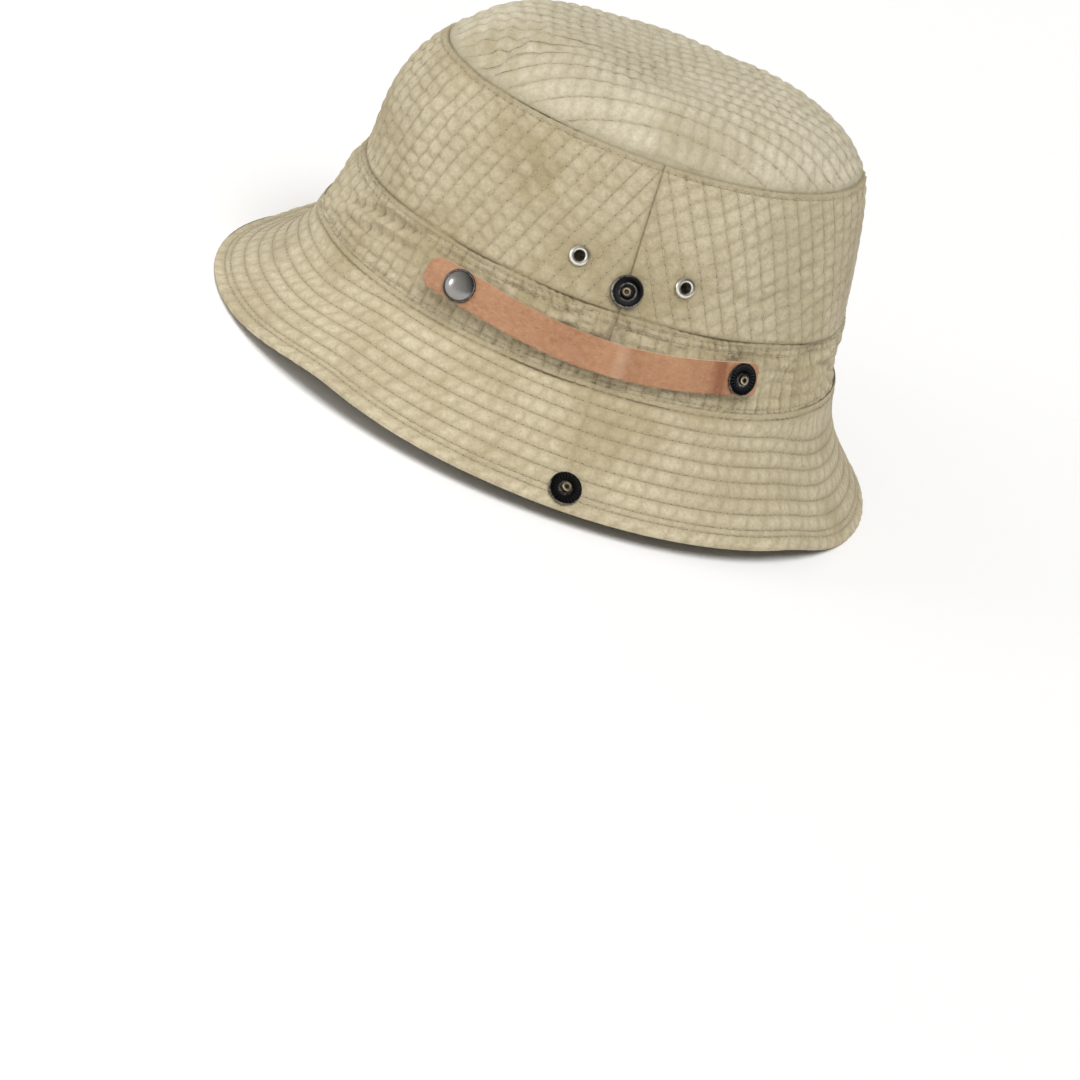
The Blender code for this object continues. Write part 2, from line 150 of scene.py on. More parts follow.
def normals(base, T, w):
    """Unit normals out of a panel: T turns and w runs down, so their cross points out."""
    dT, dw = 0.2, 0.004
    across = base(T + dT, w) - base(T - dT, w)
    down = base(T, w + dw) - base(T, w - dw)
    n = np.cross(across, down)
    return n / np.linalg.norm(n, axis=-1, keepdims=True)


straight_side = wall(TIP_SEAM, BAND_TOP)
straight_band = wall(BAND_TOP, BRIM_SEAM)
straight_brim = wall(BRIM_SEAM, BRIM_EDGE)


def end_weight(T, start):
    """0 at the sides of the hat, rising to 1 at its front (first) and back (second)."""
    c = np.cos(np.radians(T))
    reach = [np.clip((sign * c - start) / (1 - start), 0, 1) ** 1.2 for sign in (-1, 1)]
    return reach[0], reach[1]


def side_base(T, w):
    front, back = end_weight(T, 0.25)
    belly = (BELLY_FRONT * front + BELLY_BACK * back) * np.sin(np.pi * np.clip(w, 0, 1) ** 0.8)
    return straight_side(T, w) + normals(straight_side, T, w) * belly[..., None]


def band_base(T, w):
    pinch = BAND_PINCH * end_weight(T, 0.64)[1] * np.sin(np.pi * np.clip(w, 0, 1))
    return straight_band(T, w) - normals(straight_band, T, w) * pinch[..., None]


def brim_base(T, w):
    """The brim hangs a little hollow at its front and back, and its edge there curls in."""
    front, back = end_weight(T, 0.2)
    inside = np.clip(w, 0, 1)
    p = straight_brim(T, w)
    p[..., 1] += (BRIM_PULL_FRONT * front - BRIM_PULL_BACK * back) * inside**2
    for angle, wide, lift in BRIM_WAVES:
        p[..., 2] += lift * bell(apart(T, angle), wide) * inside**2
    sag = BRIM_SAG_FRONT * front + BRIM_SAG_BACK * back
    for angle, wide, deep in BRIM_HOLLOWS:
        sag = sag + deep * bell(apart(T, angle), wide)
    return p - normals(straight_brim, T, w) * (sag * np.sin(np.pi * inside**0.75))[..., None]


def tip_base(T, w):
    rim = ring(TIP_SEAM, T)
    middle = np.array([0.0, TIP_SEAM["y"], TIP_SEAM["z"] + LEAN * TIP_SEAM["y"]])
    p = middle + (rim - middle) * w[..., None]
    p[..., 2] += TIP_RISE * (1 - np.abs(w) ** DOME_POWER)
    return p


def slant(base, T):
    return np.linalg.norm(base(T, np.ones_like(T)) - base(T, np.zeros_like(T)), axis=-1)


def arc_table(base, w):
    """T against the length round a panel at one height, in mm from the back."""
    T = np.linspace(-190.0, 550.0, 1481)
    p = base(T, np.full_like(T, w))
    arc = np.concatenate([[0], np.cumsum(np.linalg.norm(np.diff(p, axis=0), axis=1))])
    return T, arc - np.interp(0.0, T, arc)


def develop(centre):
    """Flat pattern of a crown side: T, and the flat x and y of both ends of each ruling."""
    T = centre + np.linspace(-92.0, 92.0, 737)
    top, bottom = ring(TIP_SEAM, T), ring(BAND_TOP, T)
    length = np.linalg.norm(bottom - top, axis=1)
    step_top = np.linalg.norm(np.diff(top, axis=0), axis=1)
    step_low = np.linalg.norm(np.diff(bottom, axis=0), axis=1)
    turn = np.concatenate([[0], np.cumsum((step_low - step_top) * 2 / (length[1:] + length[:-1]))])
    middle = len(T) // 2
    turn -= turn[middle]
    heading = (turn[1:] + turn[:-1]) / 2
    x = np.concatenate([[0], np.cumsum(step_low * np.cos(heading))])
    y = np.concatenate([[0], np.cumsum(step_low * np.sin(heading))])
    x, y = x - x[middle], y - y[middle]
    return T, x, y, x - length * np.sin(turn), y + length * np.cos(turn)


FLAT = {"front": develop(180.0), "back": develop(0.0)}
BAND_ARC = arc_table(straight_band, 0.5)
BRIM_ARC = arc_table(brim_base, 0.6)


def flatten(part, T, w):
    grid, x_low, y_low, x_high, y_high = FLAT[part]
    low = np.stack([np.interp(T, grid, x_low), np.interp(T, grid, y_low)])
    high = np.stack([np.interp(T, grid, x_high), np.interp(T, grid, y_high)])
    return high * (1 - w) + low * w


# ---- relief: height over a panel's surface, its painted shade and how raised it is ---------
def quilt(across, along, p, shift, depth, seed, pitch=LINE_PITCH, pucker=PUCKER):
    """Puckered channels between stitch lines. shift moves each channel's puckers along."""
    c = across / pitch
    near = c - np.round(c)
    pillow = np.abs(np.sin(np.pi * near)) ** 0.65
    channel = np.round(c) - 1 + smooth((near + 0.16) / 0.32)
    odd = 0.5 - 0.5 * np.cos(np.pi * channel)
    drift = 0.8 * noise(p, 30, seed) + 0.3 * noise(p, 11, seed + 1) + 0.45 * np.sin(2.7 * channel)
    phase = np.pi * (along + drift) / pucker + 0.5 * np.pi * shift * odd
    bump = np.abs(np.sin(phase)) ** 0.6
    strength = np.clip(0.85 + 0.4 * noise(p, 26, seed + 2), 0.15, 1.4)
    height = -depth * (0.6 * (1 - pillow) + 0.85 * strength * (1 - bump) * (0.35 + 0.65 * pillow))
    # the second value is painted shade along the stitch line
    return height, 0.47 * bell(near * pitch, 0.36), pillow * bump


def seam_roll(d, tuck, roll):
    """Height beside a seam d mm away: it dives into the seam and rolls over beside it."""
    return -tuck * bell(d, 0.6) + roll * bell(d - 1.7, 1.0)


def roping(d, along, p, reach, depth, seed):
    """Short wrinkles that the stitching beside a seam pulls into the cloth."""
    wrinkle = np.abs(np.sin(np.pi * (along + 1.1 * noise(p, 16, seed)) / 3.7 + 0.5 * d)) ** 0.8
    strength = np.clip(0.7 + 0.5 * noise(p, 22, seed + 1), 0.1, 1.4)
    return -depth * strength * (1 - wrinkle) * bell(d - 0.45 * reach, 0.6 * reach)


def rows_relief(d, rows):
    """A groove and the painted shade in it along each row of topstitching."""
    near = np.min([np.abs(d - row) for row in rows], axis=0)
    return -0.4 * bell(near, 0.5), 0.4 * bell(near, 0.33)


def side_seam(base, T, w):
    at = [base(np.full_like(T, seam), w) for seam in (90.0, 270.0)]
    return np.min([np.linalg.norm(base(T, w) - p, axis=-1) for p in at], axis=0)


def stain_and_shade_of(T, p):
    """How strongly the dark patches, partly stains and partly painted shade, darken the cloth, with
    ragged borders.
    """
    total = np.zeros(T.shape)
    for angle, high, radius, strength in STAINS_AND_SHADE:
        turn = np.radians(apart(T, angle))
        reach = np.hypot(turn * np.hypot(p[..., 0], p[..., 1]), p[..., 2] - high)
        total += strength * bell(reach, radius * (1 + 0.2 * noise(p, 12, int(angle))))
    return np.clip(total * (0.85 + 0.3 * noise(p, 7, 99)), 0, 1)


def calm_near_metal(p):
    calm = np.ones(p.shape[:-1])
    for spot in METAL_SPOTS:
        calm *= 1 - 0.85 * bell(np.linalg.norm(p - spot, axis=-1), 10.0)
    return calm


def nearest(x, y, path):
    """Distance to a bent line, the same signed by its side, and the share of the line run."""
    best, signed, share = np.full(x.shape, 1e9), np.zeros(x.shape), np.zeros(x.shape)
    steps = len(path) - 1
    for i, ((x0, y0), (x1, y1)) in enumerate(zip(path, path[1:])):
        dx, dy = x1 - x0, y1 - y0
        t = np.clip(((x - x0) * dx + (y - y0) * dy) / (dx * dx + dy * dy), 0, 1)
        ox, oy = x - x0 - t * dx, y - y0 - t * dy
        d = np.hypot(ox, oy)
        closer = d < best
        best = np.where(closer, d, best)
        signed = np.where(closer, d * np.sign(dx * oy - dy * ox), signed)
        share = np.where(closer, (i + t) / steps, share)
    return best, signed, share


def crease(x, y, path, depth, width):
    """A valley along a short bent line of (x, y) points, in flat coordinates."""
    d, _, share = nearest(x, y, path)
    fade = np.sin(np.pi * np.clip(share, 0.12, 0.88)) ** 0.7
    return (-depth * bell(d, width) + 0.45 * depth * bell(d - 2.2 * width, width)) * fade


def tip_fold(x, y):
    """The soft fold across the tip: a hollow in front of a low ridge, fading inward."""
    _, signed, share = nearest(x, y, FOLD)
    reach = np.clip(signed, 0, None) / 4.0
    hollow = reach * np.exp(1 - reach)
    return (1.1 * bell(signed + 2.4, 2.4) - 3.5 * hollow) * smooth((1 - share) / 0.6)


def side_relief(part):
    front = part == "front"

    def relief(T, w):
        p = side_base(T, w)
        x, y = flatten(part, T, w)
        shift = np.clip((0.8 if front else 0.1) + 0.2 * noise(p, 70, 5), 0, 1)
        depth = 0.95 if front else 0.75
        along = y if front else y + 0.14 * np.abs(x)
        height, line, top = quilt(x + LINE_PITCH / 2, along, p, shift, depth, 11 if front else 17)
        length = slant(straight_side, T)
        d_top, d_low = w * length, (1 - w) * length
        d_seam = side_seam(straight_side, T, w)
        calm = calm_near_metal(p) * smooth(d_seam / 3) * smooth(d_top / 4) * smooth(d_low / 2)
        flatness = 1 - 0.55 * bell(d_seam, 24) if front else 1 - 0.25 * bell(d_seam, 16)
        height = height * (0.2 + 0.8 * calm) * flatness
        groove, row = rows_relief(d_top, (CROWN_ROW,))
        around = np.interp(T % 360.0, *BAND_ARC)
        height += groove + seam_roll(d_top, 0.8, 0.2) + seam_roll(d_low, 0.5, 0.35)
        height += seam_roll(d_seam, 0.5, 0.12) + 0.5 * noise(p, 45, 21) - 0.25
        height += roping(d_top, 0.8 * around, p, 4.5, 0.75, 61) + roping(d_low, around, p, 3.5, 0.45, 63)
        for path, deep, wide in CREASES_SIDE:
            height += crease(T, w * length, path, deep, wide)
        # painted shade along the seams, the stitch lines and the row of topstitching
        seams = [0.7 * bell(d_seam, 0.3), 0.6 * bell(d_top, 0.4), 0.6 * bell(d_low, 0.35)]
        groove_shade = np.max([line * smooth((d_top - 0.8) / 1.0), row, *seams], axis=0)
        return height, groove_shade, top * calm, (x, y)

    return relief


def band_relief(T, w):
    p = band_base(T, w)
    x = np.interp(T, *BAND_ARC)
    length = slant(straight_band, T)
    y = -w * length
    shift = np.clip(0.5 + 0.4 * noise(p, 50, 7), 0, 1)
    height, line, top = quilt(x, y, p, shift, 0.95, 31, pucker=5.0)
    d_top, d_low = w * length, (1 - w) * length
    d_seam = side_seam(straight_band, T, w)
    calm = calm_near_metal(p) * smooth(d_seam / 3) * smooth(d_top / 4) * smooth(d_low / 4)
    height = height * (0.25 + 0.75 * calm)
    groove_top, row_top = rows_relief(d_top, BAND_ROWS_TOP)
    groove_low, row_low = rows_relief(d_low, BAND_ROWS_LOW)
    height += groove_top + groove_low + seam_roll(d_top, 0.6, 0.1) + 0.15 * bell(d_low, 1.6)
    height += seam_roll(d_seam, 0.3, 0.1) + 0.45 * noise(p, 30, 22) - 0.3 - smooth(-d_top / 0.8)
    gather = 1 - np.abs(np.sin(np.pi * (x + 0.35 * noise(p, 14, 25)) / 3.0)) ** 0.8
    height -= gather * (0.35 + 0.75 * smooth((np.cos(np.radians(T)) - 0.35) / 0.4)) * smooth(d_top / 5)
    height += 0.85 * noise(p, 15, 24) * bell(d_top - 8.0, 6.0)
    height += roping(d_top, x, p, 7.0, 1.0, 65) + roping(d_low, x, p, 6.0, 0.65, 67)
    for path, deep, wide in CREASES_BAND:
        height += crease(T, w * length, path, deep, wide)
    # painted shade along the seams, the stitch lines and the rows of topstitching
    seams = [0.5 * bell(d_seam, 0.25), 0.6 * bell(d_top, 0.4), 0.6 * bell(d_low, 0.3)]
    groove_shade = np.max([0.8 * line, row_top, row_low, *seams], axis=0)
    return height, groove_shade, top * calm, (x, y)


def tip_relief(T, w):
    p = tip_base(T, w)
    back = smooth((p[..., 1] + 5) / 55)
    shift = 0.1 + 0.6 * back + 0.1 * noise(p, 70, 8)
    deep = 1.15 + 0.05 * back
    height, line, top = quilt(p[..., 0] + LINE_PITCH / 2, p[..., 1], p, shift, deep, 41)
    rim = np.linalg.norm(ring(TIP_SEAM, T) - tip_base(T, np.zeros_like(w)), axis=-1)
    d_rim = (1 - w) * rim
    calm = smooth((d_rim - 0.5) / 3)
    height = height * (0.2 + 0.8 * calm) + seam_roll(d_rim, 0.8, 0.35) + 0.6 * noise(p, 46, 23) - 0.4
    height += roping(d_rim, 0.75 * np.interp(T % 360.0, *BAND_ARC), p, 4.5, 0.5, 69)
    height += tip_fold(p[..., 0], p[..., 1]) * smooth((d_rim - 0.2) / 2.5)
    for path, deep, wide in CREASES_TIP:
        height += crease(p[..., 0], p[..., 1], path, deep, wide)
    # painted shade along the stitch lines and the tip's seam
    return height, np.maximum(line, 0.8 * bell(d_rim, 0.4)), top * calm, (p[..., 0], p[..., 1])


def edge_wave(p, w):
    """Slow rise and fall of the brim, growing towards its edge."""
    return 0.7 * w**2 * (0.5 + 0.5 * noise(p, 75, 54))


def brim_relief(T, w):
    p = brim_base(T, w)
    length = slant(straight_brim, T)
    d_edge, d_seam = (1 - w) * length, w * length
    x = np.interp(T % 360.0, *BRIM_ARC)
    near = np.min([np.abs(d_edge - row) for row in BRIM_ROWS], axis=0)
    pillow = smooth(near / 2.7) ** 0.7
    drift = 2.4 * noise(p, 36, 51) + 0.9 * noise(p, 12, 52)
    step = np.round((d_edge - BRIM_ROWS[0]) / 5.8)
    phase = 2 * np.pi * (x + drift + 0.3 * d_edge) / 7.2 + 0.35 * np.pi * step
    ripple = np.abs(np.cos(phase / 2)) ** 0.8
    strength = np.clip(0.5 + 0.5 * noise(p, 44, 53), 0.05, 1.2)
    flatter = 1 - 0.6 * smooth(-np.cos(np.radians(T)) / 0.75) * smooth((d_edge - 9) / 12)
    height = -0.42 * (1 - pillow) - 0.42 * strength * (1 - ripple) * (0.35 + 0.65 * pillow)
    height = height * flatter
    d_side = side_seam(brim_base, T, w)
    calm = smooth(d_side / 3) * smooth(d_seam / 3) * calm_near_metal(p)
    height = height * (0.25 + 0.75 * calm) + seam_roll(d_side, 0.25, 0.12) - 0.7 * bell(d_seam, 0.8)
    height += roping(d_edge, x, p, 8.0, 0.4, 71)
    height += edge_wave(p, w)
    # painted shade along the seams and the rows of stitching
    seams = [0.75 * bell(d_side, 0.25), 0.8 * bell(d_seam, 0.4)]
    groove_shade = np.max([0.5 * flatter * bell(near, 0.36), *seams], axis=0)
    return height, groove_shade, pillow * ripple * calm, (x, d_edge)


def plain_relief(seed, rough):
    """Loose unquilted lining: soft wrinkles only."""

    def relief(T, w):
        p = np.stack([60 * np.sin(np.radians(T)), 80 * np.cos(np.radians(T)), -50 * w], -1)
        height = rough * (noise(p, 17, seed) + 0.5 * noise(p, 8, seed + 1)) / 1.5
        return height, np.zeros_like(w), 0.5 + 0.5 * height / rough, (np.interp(T, *BAND_ARC), 50 * w)

    return relief


def tip_lining_relief(T, w):
    height, groove_shade, top, flat = plain_relief(71, 0.12)(T, w)
    p = tip_base(T, w)
    return height + tip_fold(p[..., 0], p[..., 1]) - 0.3, groove_shade, top, flat


METAL_SPOTS = []
# dark patches, partly dye that kept darker and partly painted shade, as at the tip's front and near the
# back's edge: (T, height above the floor, radius, strength)
STAINS_AND_SHADE = (
    (160, 122, 17, 0.8), (141, 118, 9, 0.5), (119, 95, 11, 1.0), (122, 104, 7, 0.6), (97, 74, 15, 0.75),
    (84, 72, 12, 0.5), (133, 58, 13, 0.85), (108, 60, 12, 0.6), (92, 36, 9, 0.45), (66, 57, 14, 0.75),
    (40, 58, 15, 0.85), (152, 62, 14, 0.55), (300, 90, 14, 0.7), (250, 62, 14, 0.6), (338, 60, 15, 0.6),
    (215, 100, 11, 0.6), (20, 88, 13, 0.6),
)
# creases: (points of the fold, its depth, its half width); x is T, or mm on the tip
CREASES_SIDE = (
    (((112, 16), (119, 24), (128, 27)), 0.9, 3.2),
    (((40, 36), (60, 40), (78, 38)), 0.5, 1.8),
    (((24, 30), (38, 27), (52, 29)), 0.5, 1.6),
    (((146, 8), (152, 14), (163, 18)), 0.8, 2.4),
    (((196, 10), (205, 20), (219, 22)), 0.9, 2.6),
    (((290, 30), (310, 24), (330, 30)), 0.6, 2.0),
)
CREASES_BAND = (
    (((169, 14), (159, 10), (151, 7), (143, 6), (135, 2.5)), 1.7, 1.5),
    (((158, 17), (148, 13), (138, 11)), 1.2, 1.4),
    (((112, 5), (104, 7), (97, 5)), 0.7, 1.3),
    (((84, 5), (76, 8), (70, 5.5)), 0.8, 1.3),
    (((36, 16), (28, 11), (16, 9)), 0.9, 1.7),
    (((30, 9), (22, 14), (8, 18)), 0.8, 1.5),
    (((200, 9), (214, 13), (228, 10)), 0.9, 1.6),
    (((300, 14), (318, 10), (335, 13)), 0.8, 1.6),
)
CREASES_TIP = (
    (((25, -73), (13, -68.5), (-4, -66)), 1.0, 1.6),
    (((21, -76.5), (9, -73), (-9, -71.5)), 0.8, 1.3),
    (((28, -68), (17, -63), (2, -60)), 0.9, 1.3),
    (((-30, 20), (-10, 34), (14, 36)), 0.5, 3.0),
)


# ---- meshes --------------------------------------------------------------------------------
def signed_volume(verts, faces):
    total = 0.0
    for k in range(1, faces.shape[1] - 1):
        a, b, c = verts[faces[:, 0]], verts[faces[:, k]], verts[faces[:, k + 1]]
        total += np.einsum("ij,ij->i", a, np.cross(b, c)).sum()
    return total


def mesh_object(name, verts, face_sets, material, fields=None, flat=None, closed=True):
    """verts in mm; face_sets are integer arrays, one for each number of corners."""
    verts = np.asarray(verts, float)
    face_sets = [np.asarray(f, np.int64) for f in face_sets if len(f)]
    if closed and sum(signed_volume(verts, f) for f in face_sets) < 0:
        face_sets = [f[:, ::-1] for f in face_sets]
    loops = np.concatenate([f.ravel() for f in face_sets])
    sizes = np.concatenate([np.full(len(f), f.shape[1]) for f in face_sets])
    mesh = bpy.data.meshes.new(name)
    mesh.vertices.add(len(verts))
    mesh.vertices.foreach_set("co", (verts * MM).astype(np.float32).ravel())
    mesh.loops.add(len(loops))
    mesh.loops.foreach_set("vertex_index", loops.astype(np.int32))
    mesh.polygons.add(len(sizes))
    mesh.polygons.foreach_set("loop_start", (np.cumsum(sizes) - sizes).astype(np.int32))
    mesh.update(calc_edges=True)
    mesh.shade_smooth()
    for key, values in (fields or {}).items():
        attribute = mesh.attributes.new(key, "FLOAT", "POINT")
        attribute.data.foreach_set("value", np.asarray(values, np.float32).ravel())
    if flat is not None:
        attribute = mesh.attributes.new("cloth_at", "FLOAT_VECTOR", "POINT")
        attribute.data.foreach_set("vector", (np.asarray(flat) * MM).astype(np.float32).ravel())
    obj = bpy.data.objects.new(name, mesh)
    bpy.context.collection.objects.link(obj)
    mesh.materials.append(material)
    return obj


def grid(T_range, columns, w_range, rows, closed=False):
    T = np.linspace(*T_range, columns, endpoint=not closed)
    T, w = np.meshgrid(T, np.linspace(*w_range, rows), indexing="ij")
    return T, w


def grid_cells(n, m, closed, closed_across=False):
    i = np.arange(n if closed else n - 1)[:, None]
    j = np.arange(m if closed_across else m - 1)[None, :]
    k, j2 = (i + 1) % n, (j + 1) % m
    return np.stack([i * m + j, k * m + j, k * m + j2, i * m + j2], -1).reshape(-1, 4)


def close_layers(n, m, closed, removed=None):
    """Faces of two matching grids, the second after the first, joined along every border."""
    cells = grid_cells(n, m, closed)
    if removed is not None:
        cells = cells[~removed.ravel()[cells].any(axis=1)]
    edges = np.concatenate([cells[:, [k, (k + 1) % 4]] for k in range(4)])
    size = n * m
    code = edges[:, 0] * size + edges[:, 1]
    back = edges[:, 1] * size + edges[:, 0]
    border = edges[~np.isin(code, back)]
    a, b = border[:, 0], border[:, 1]
    sides = np.stack([b, a, a + size, b + size], -1)
    return [np.concatenate([cells, cells[:, ::-1] + size, sides])]


def rim_taper(d, reach):
    """0 at a rounded edge, rising to 1 at reach mm from it."""
    t = np.clip(d / reach, 0, 1)
    return np.sqrt(np.clip(1 - (1 - t) ** 2, 0, 1))


def holes_mask(p, holes):
    mask = np.zeros(p.shape[:-1], bool)
    for spot, radius in holes:
        mask |= np.linalg.norm(p - spot, axis=-1) < radius
    return mask


def cloth_layer(name, base, relief, T, w, depths, material, holes=(), closed=False, inside=False):
    """A closed layer of cloth between two depths; the relief is on its outer or inner face."""
    p, n = base(T, w), normals(base, T, w)
    height, groove_shade, top, (x, y) = relief(T, w)
    if inside:
        outer, inner = p - n * depths[0], p - n * (depths[1] - height)[..., None]
    else:
        low = depths[0] - height
        outer, inner = p - n * low[..., None], p - n * np.maximum(depths[1], low + 0.5)[..., None]
    faces = close_layers(*T.shape, closed, holes_mask(p, holes))
    verts = np.concatenate([outer.reshape(-1, 3), inner.reshape(-1, 3)])
    blank = np.zeros(groove_shade.size)
    if inside:
        fields = {"groove": np.append(blank, groove_shade), "raised": np.append(blank + 0.5, top)}
    else:
        fields = {"groove": np.append(groove_shade, blank), "raised": np.append(top, blank + 0.5)}
        fields["stain_and_shade"] = np.append(stain_and_shade_of(T, p), blank)
    flat = np.stack([x.ravel(), y.ravel(), 0 * x.ravel()], -1)
    obj = mesh_object(name, verts, faces, material, fields, np.concatenate([flat, flat]))
    if holes:
        drop_loose(obj)
    return obj


def drop_loose(obj):
    """Remove the points that a hole left behind."""
    bm = bmesh.new()
    bm.from_mesh(obj.data)
    bmesh.ops.delete(bm, geom=[v for v in bm.verts if not v.link_faces], context="VERTS")
    bm.to_mesh(obj.data)
    bm.free()


def tip_layer(name, depths, w_range, shape, relief, material):
    """The domed tip or its lining: a polar grid closed at the middle with fans."""
    columns, rows = shape
    T, w = grid((0, 360), columns, w_range, rows, closed=True)
    p, n = tip_base(T, w), normals(tip_base, T, w)
    height, groove_shade, top, (x, y) = relief(T, w)
    low = depths[0] - height
    outer, inner = p - n * low[..., None], p - n * np.maximum(depths[1], low + 0.5)[..., None]
    size = columns * rows
    cells = grid_cells(columns, rows, True)
    i = np.arange(columns)
    k = (i + 1) % columns
    edge = rows - 1
    rim = np.stack([i * rows + edge, k * rows + edge, size + k * rows + edge, size + i * rows + edge], -1)
    hubs = [layer[:, 0].mean(axis=0) for layer in (outer, inner)]
    quads = np.concatenate([cells, cells[:, ::-1] + size, rim[:, ::-1]])
    fans = [np.stack([k * rows, i * rows, np.full(columns, 2 * size)], -1)]
    fans.append(np.stack([size + i * rows, size + k * rows, np.full(columns, 2 * size + 1)], -1))
    verts = np.concatenate([outer.reshape(-1, 3), inner.reshape(-1, 3), hubs])
    blank = np.zeros(size)
    fields = {
        "groove": np.concatenate([groove_shade.ravel(), blank, [0, 0]]),
        "raised": np.concatenate([top.ravel(), blank + 0.5, [0.5, 0.5]]),
        "stain_and_shade": np.concatenate([stain_and_shade_of(T, p).ravel(), blank, [0, 0]]),
    }
    flat = verts * [1, 1, 0]
    return mesh_object(name, verts, [quads, np.concatenate(fans)], material, fields, flat)


def grid_normals(p):
    n = np.cross(np.gradient(p, axis=0), np.gradient(p, axis=1))
    return n / np.linalg.norm(n, axis=-1, keepdims=True)


def brim_faces(T, w):
    """Upper and under face of the brim at the same T and w; they meet in its rolled edge."""
    p, n = brim_base(T, w), normals(brim_base, T, w)
    height, groove_shade, top, (x, y) = brim_relief(T, w)
    full = rim_taper((1 - w) * slant(straight_brim, T) + 0.02, 1.6)
    middle = p - n * (BRIM_THICK / 2)
    upper = middle + n * ((BRIM_THICK / 2 + height) * full)[..., None]
    wave = edge_wave(p, w)
    under_height = 0.7 * (height - wave)
    under = middle - n * ((BRIM_THICK / 2 + under_height) * full - wave)[..., None]
    upper[..., 2] = np.maximum(upper[..., 2], 0.02)
    under[..., 2] = np.maximum(under[..., 2], 0.0)
    return upper, under, groove_shade, top, np.stack([x, y, 0 * x], -1)


def build_brim(name, T_range, material):
    """Half of the brim. Its normals take in the next column, so the halves join smoothly."""
    columns, rows = BRIM_GRID
    step = (T_range[1] - T_range[0]) / (columns - 1)
    T, w = grid((T_range[0] - step, T_range[1] + step), columns + 2, BRIM_REACH, rows)
    upper, under, groove_shade, top, flat = brim_faces(T, w)
    shading = np.concatenate([grid_normals(upper)[1:-1], -grid_normals(under)[1:-1]])
    layers = [v[1:-1] for v in (upper, under)]
    verts = np.concatenate(layers).reshape(-1, 3)
    stain_and_shade_spots = stain_and_shade_of(T[1:-1], layers[0]).ravel()
    groove_shade, top, flat = groove_shade[1:-1].ravel(), top[1:-1].ravel(), flat[1:-1].reshape(-1, 3)
    fields = {"groove": np.append(groove_shade, groove_shade), "raised": np.append(top, top)}
    fields["stain_and_shade"] = np.append(stain_and_shade_spots, 0.5 * stain_and_shade_spots)
    faces = close_layers(columns, rows, False)
    obj = mesh_object(name, verts, faces, material, fields, np.concatenate([flat, flat]))
    obj.data.normals_split_custom_set_from_vertices(shading.reshape(-1, 3).tolist())
    return obj


# ---- stitches ------------------------------------------------------------------------------
def stitch_line(p, n):
    """Stitches along a line of points on the cloth: four rings of five points each."""
    steps = np.linalg.norm(np.diff(p, axis=0), axis=1)
    s = np.concatenate([[0], np.cumsum(steps)])
    count = int((s[-1] - 0.6) // STITCH_PITCH)
    if count < 1:
        return np.zeros((0, 4, 5, 3))
    start = (s[-1] - count * STITCH_PITCH) / 2 + STITCH_PITCH * np.arange(count)
    at = start[:, None] + STITCH_LONG * np.array([-0.15, 0.07, 0.93, 1.15]) + 0.3
    point = np.stack([np.interp(at, s, p[:, k]) for k in range(3)], -1)
    out = np.stack([np.interp(at, s, n[:, k]) for k in range(3)], -1)
    run = point[:, -1] - point[:, 0]
    run /= np.linalg.norm(run, axis=-1, keepdims=True)
    side = np.cross(run[:, None, :], out)
    side /= np.linalg.norm(side, axis=-1, keepdims=True)
    point = point + out * np.array([-0.02, 0.08, 0.08, -0.02])[None, :, None]
    radius = THREAD * np.array([0.75, 1.0, 1.0, 0.75])[None, :, None, None]
    turn = np.radians(np.arange(5) * 72.0)
    ring_out = np.cos(turn)[None, None, :, None] * out[:, :, None, :]
    ring_side = np.sin(turn)[None, None, :, None] * side[:, :, None, :]
    return point[:, :, None, :] + radius * (ring_out + ring_side)


def raised(base, relief):
    """The outer face of a cloth and its normals, as stitches need them."""

    def surface(T, w):
        n = normals(base, T, w)
        return base(T, w) + n * relief(T, w)[0][..., None], n

    return surface


def stitches(name, lines, surface, material):
    """All the stitches of one piece of cloth, as one mesh of small closed beads."""
    beads = np.concatenate([stitch_line(*surface(T, w)) for T, w in lines])
    middle = beads.mean(axis=(1, 2))
    gaps = [np.linalg.norm(middle - spot, axis=-1) for spot in METAL_SPOTS]
    beads = beads[np.min(gaps, axis=0) > STITCH_CLEAR]
    bead = np.arange(len(beads))[:, None, None] * 20
    i, j = np.arange(3)[None, :, None], np.arange(5)[None, None, :]
    k = (j + 1) % 5
    quads = np.stack([bead + i * 5 + j, bead + i * 5 + k, bead + i * 5 + 5 + k, bead + i * 5 + 5 + j], -1)
    ends = np.concatenate([bead[:, 0] + np.arange(5)[::-1], bead[:, 0] + 15 + np.arange(5)])
    # painted shade of the needle holes at both ends of each stitch
    needle_hole_shade = np.broadcast_to(np.array([1.0, 0.0, 0.0, 1.0])[None, :, None], beads.shape[:3])
    obj = mesh_object(name, beads.reshape(-1, 3), [quads.reshape(-1, 4), ends], material, {"needle_hole_shade": needle_hole_shade})
    return obj


def side_lines(part):
    centre = 180.0 if part == "front" else 0.0
    T = centre + np.linspace(-89.4, 89.4, 500)
    w = np.linspace(0.03, 0.985, 90)
    table = flatten(part, *np.meshgrid(T, w))[0]
    lines = []
    reach = int(np.abs(table).max() // LINE_PITCH) + 1
    for x in LINE_PITCH * (np.arange(-reach, reach) + 0.5):
        inside = (table[:, 0] < x) & (table[:, -1] > x)
        if inside.sum() > 4:
            at = np.array([np.interp(x, row, T) for row in table[inside]])
            lines.append((at, w[inside]))
    along = centre + np.linspace(-89.6, 89.6, 1200)
    lines.append((along, CROWN_ROW / slant(straight_side, along)))
    return lines


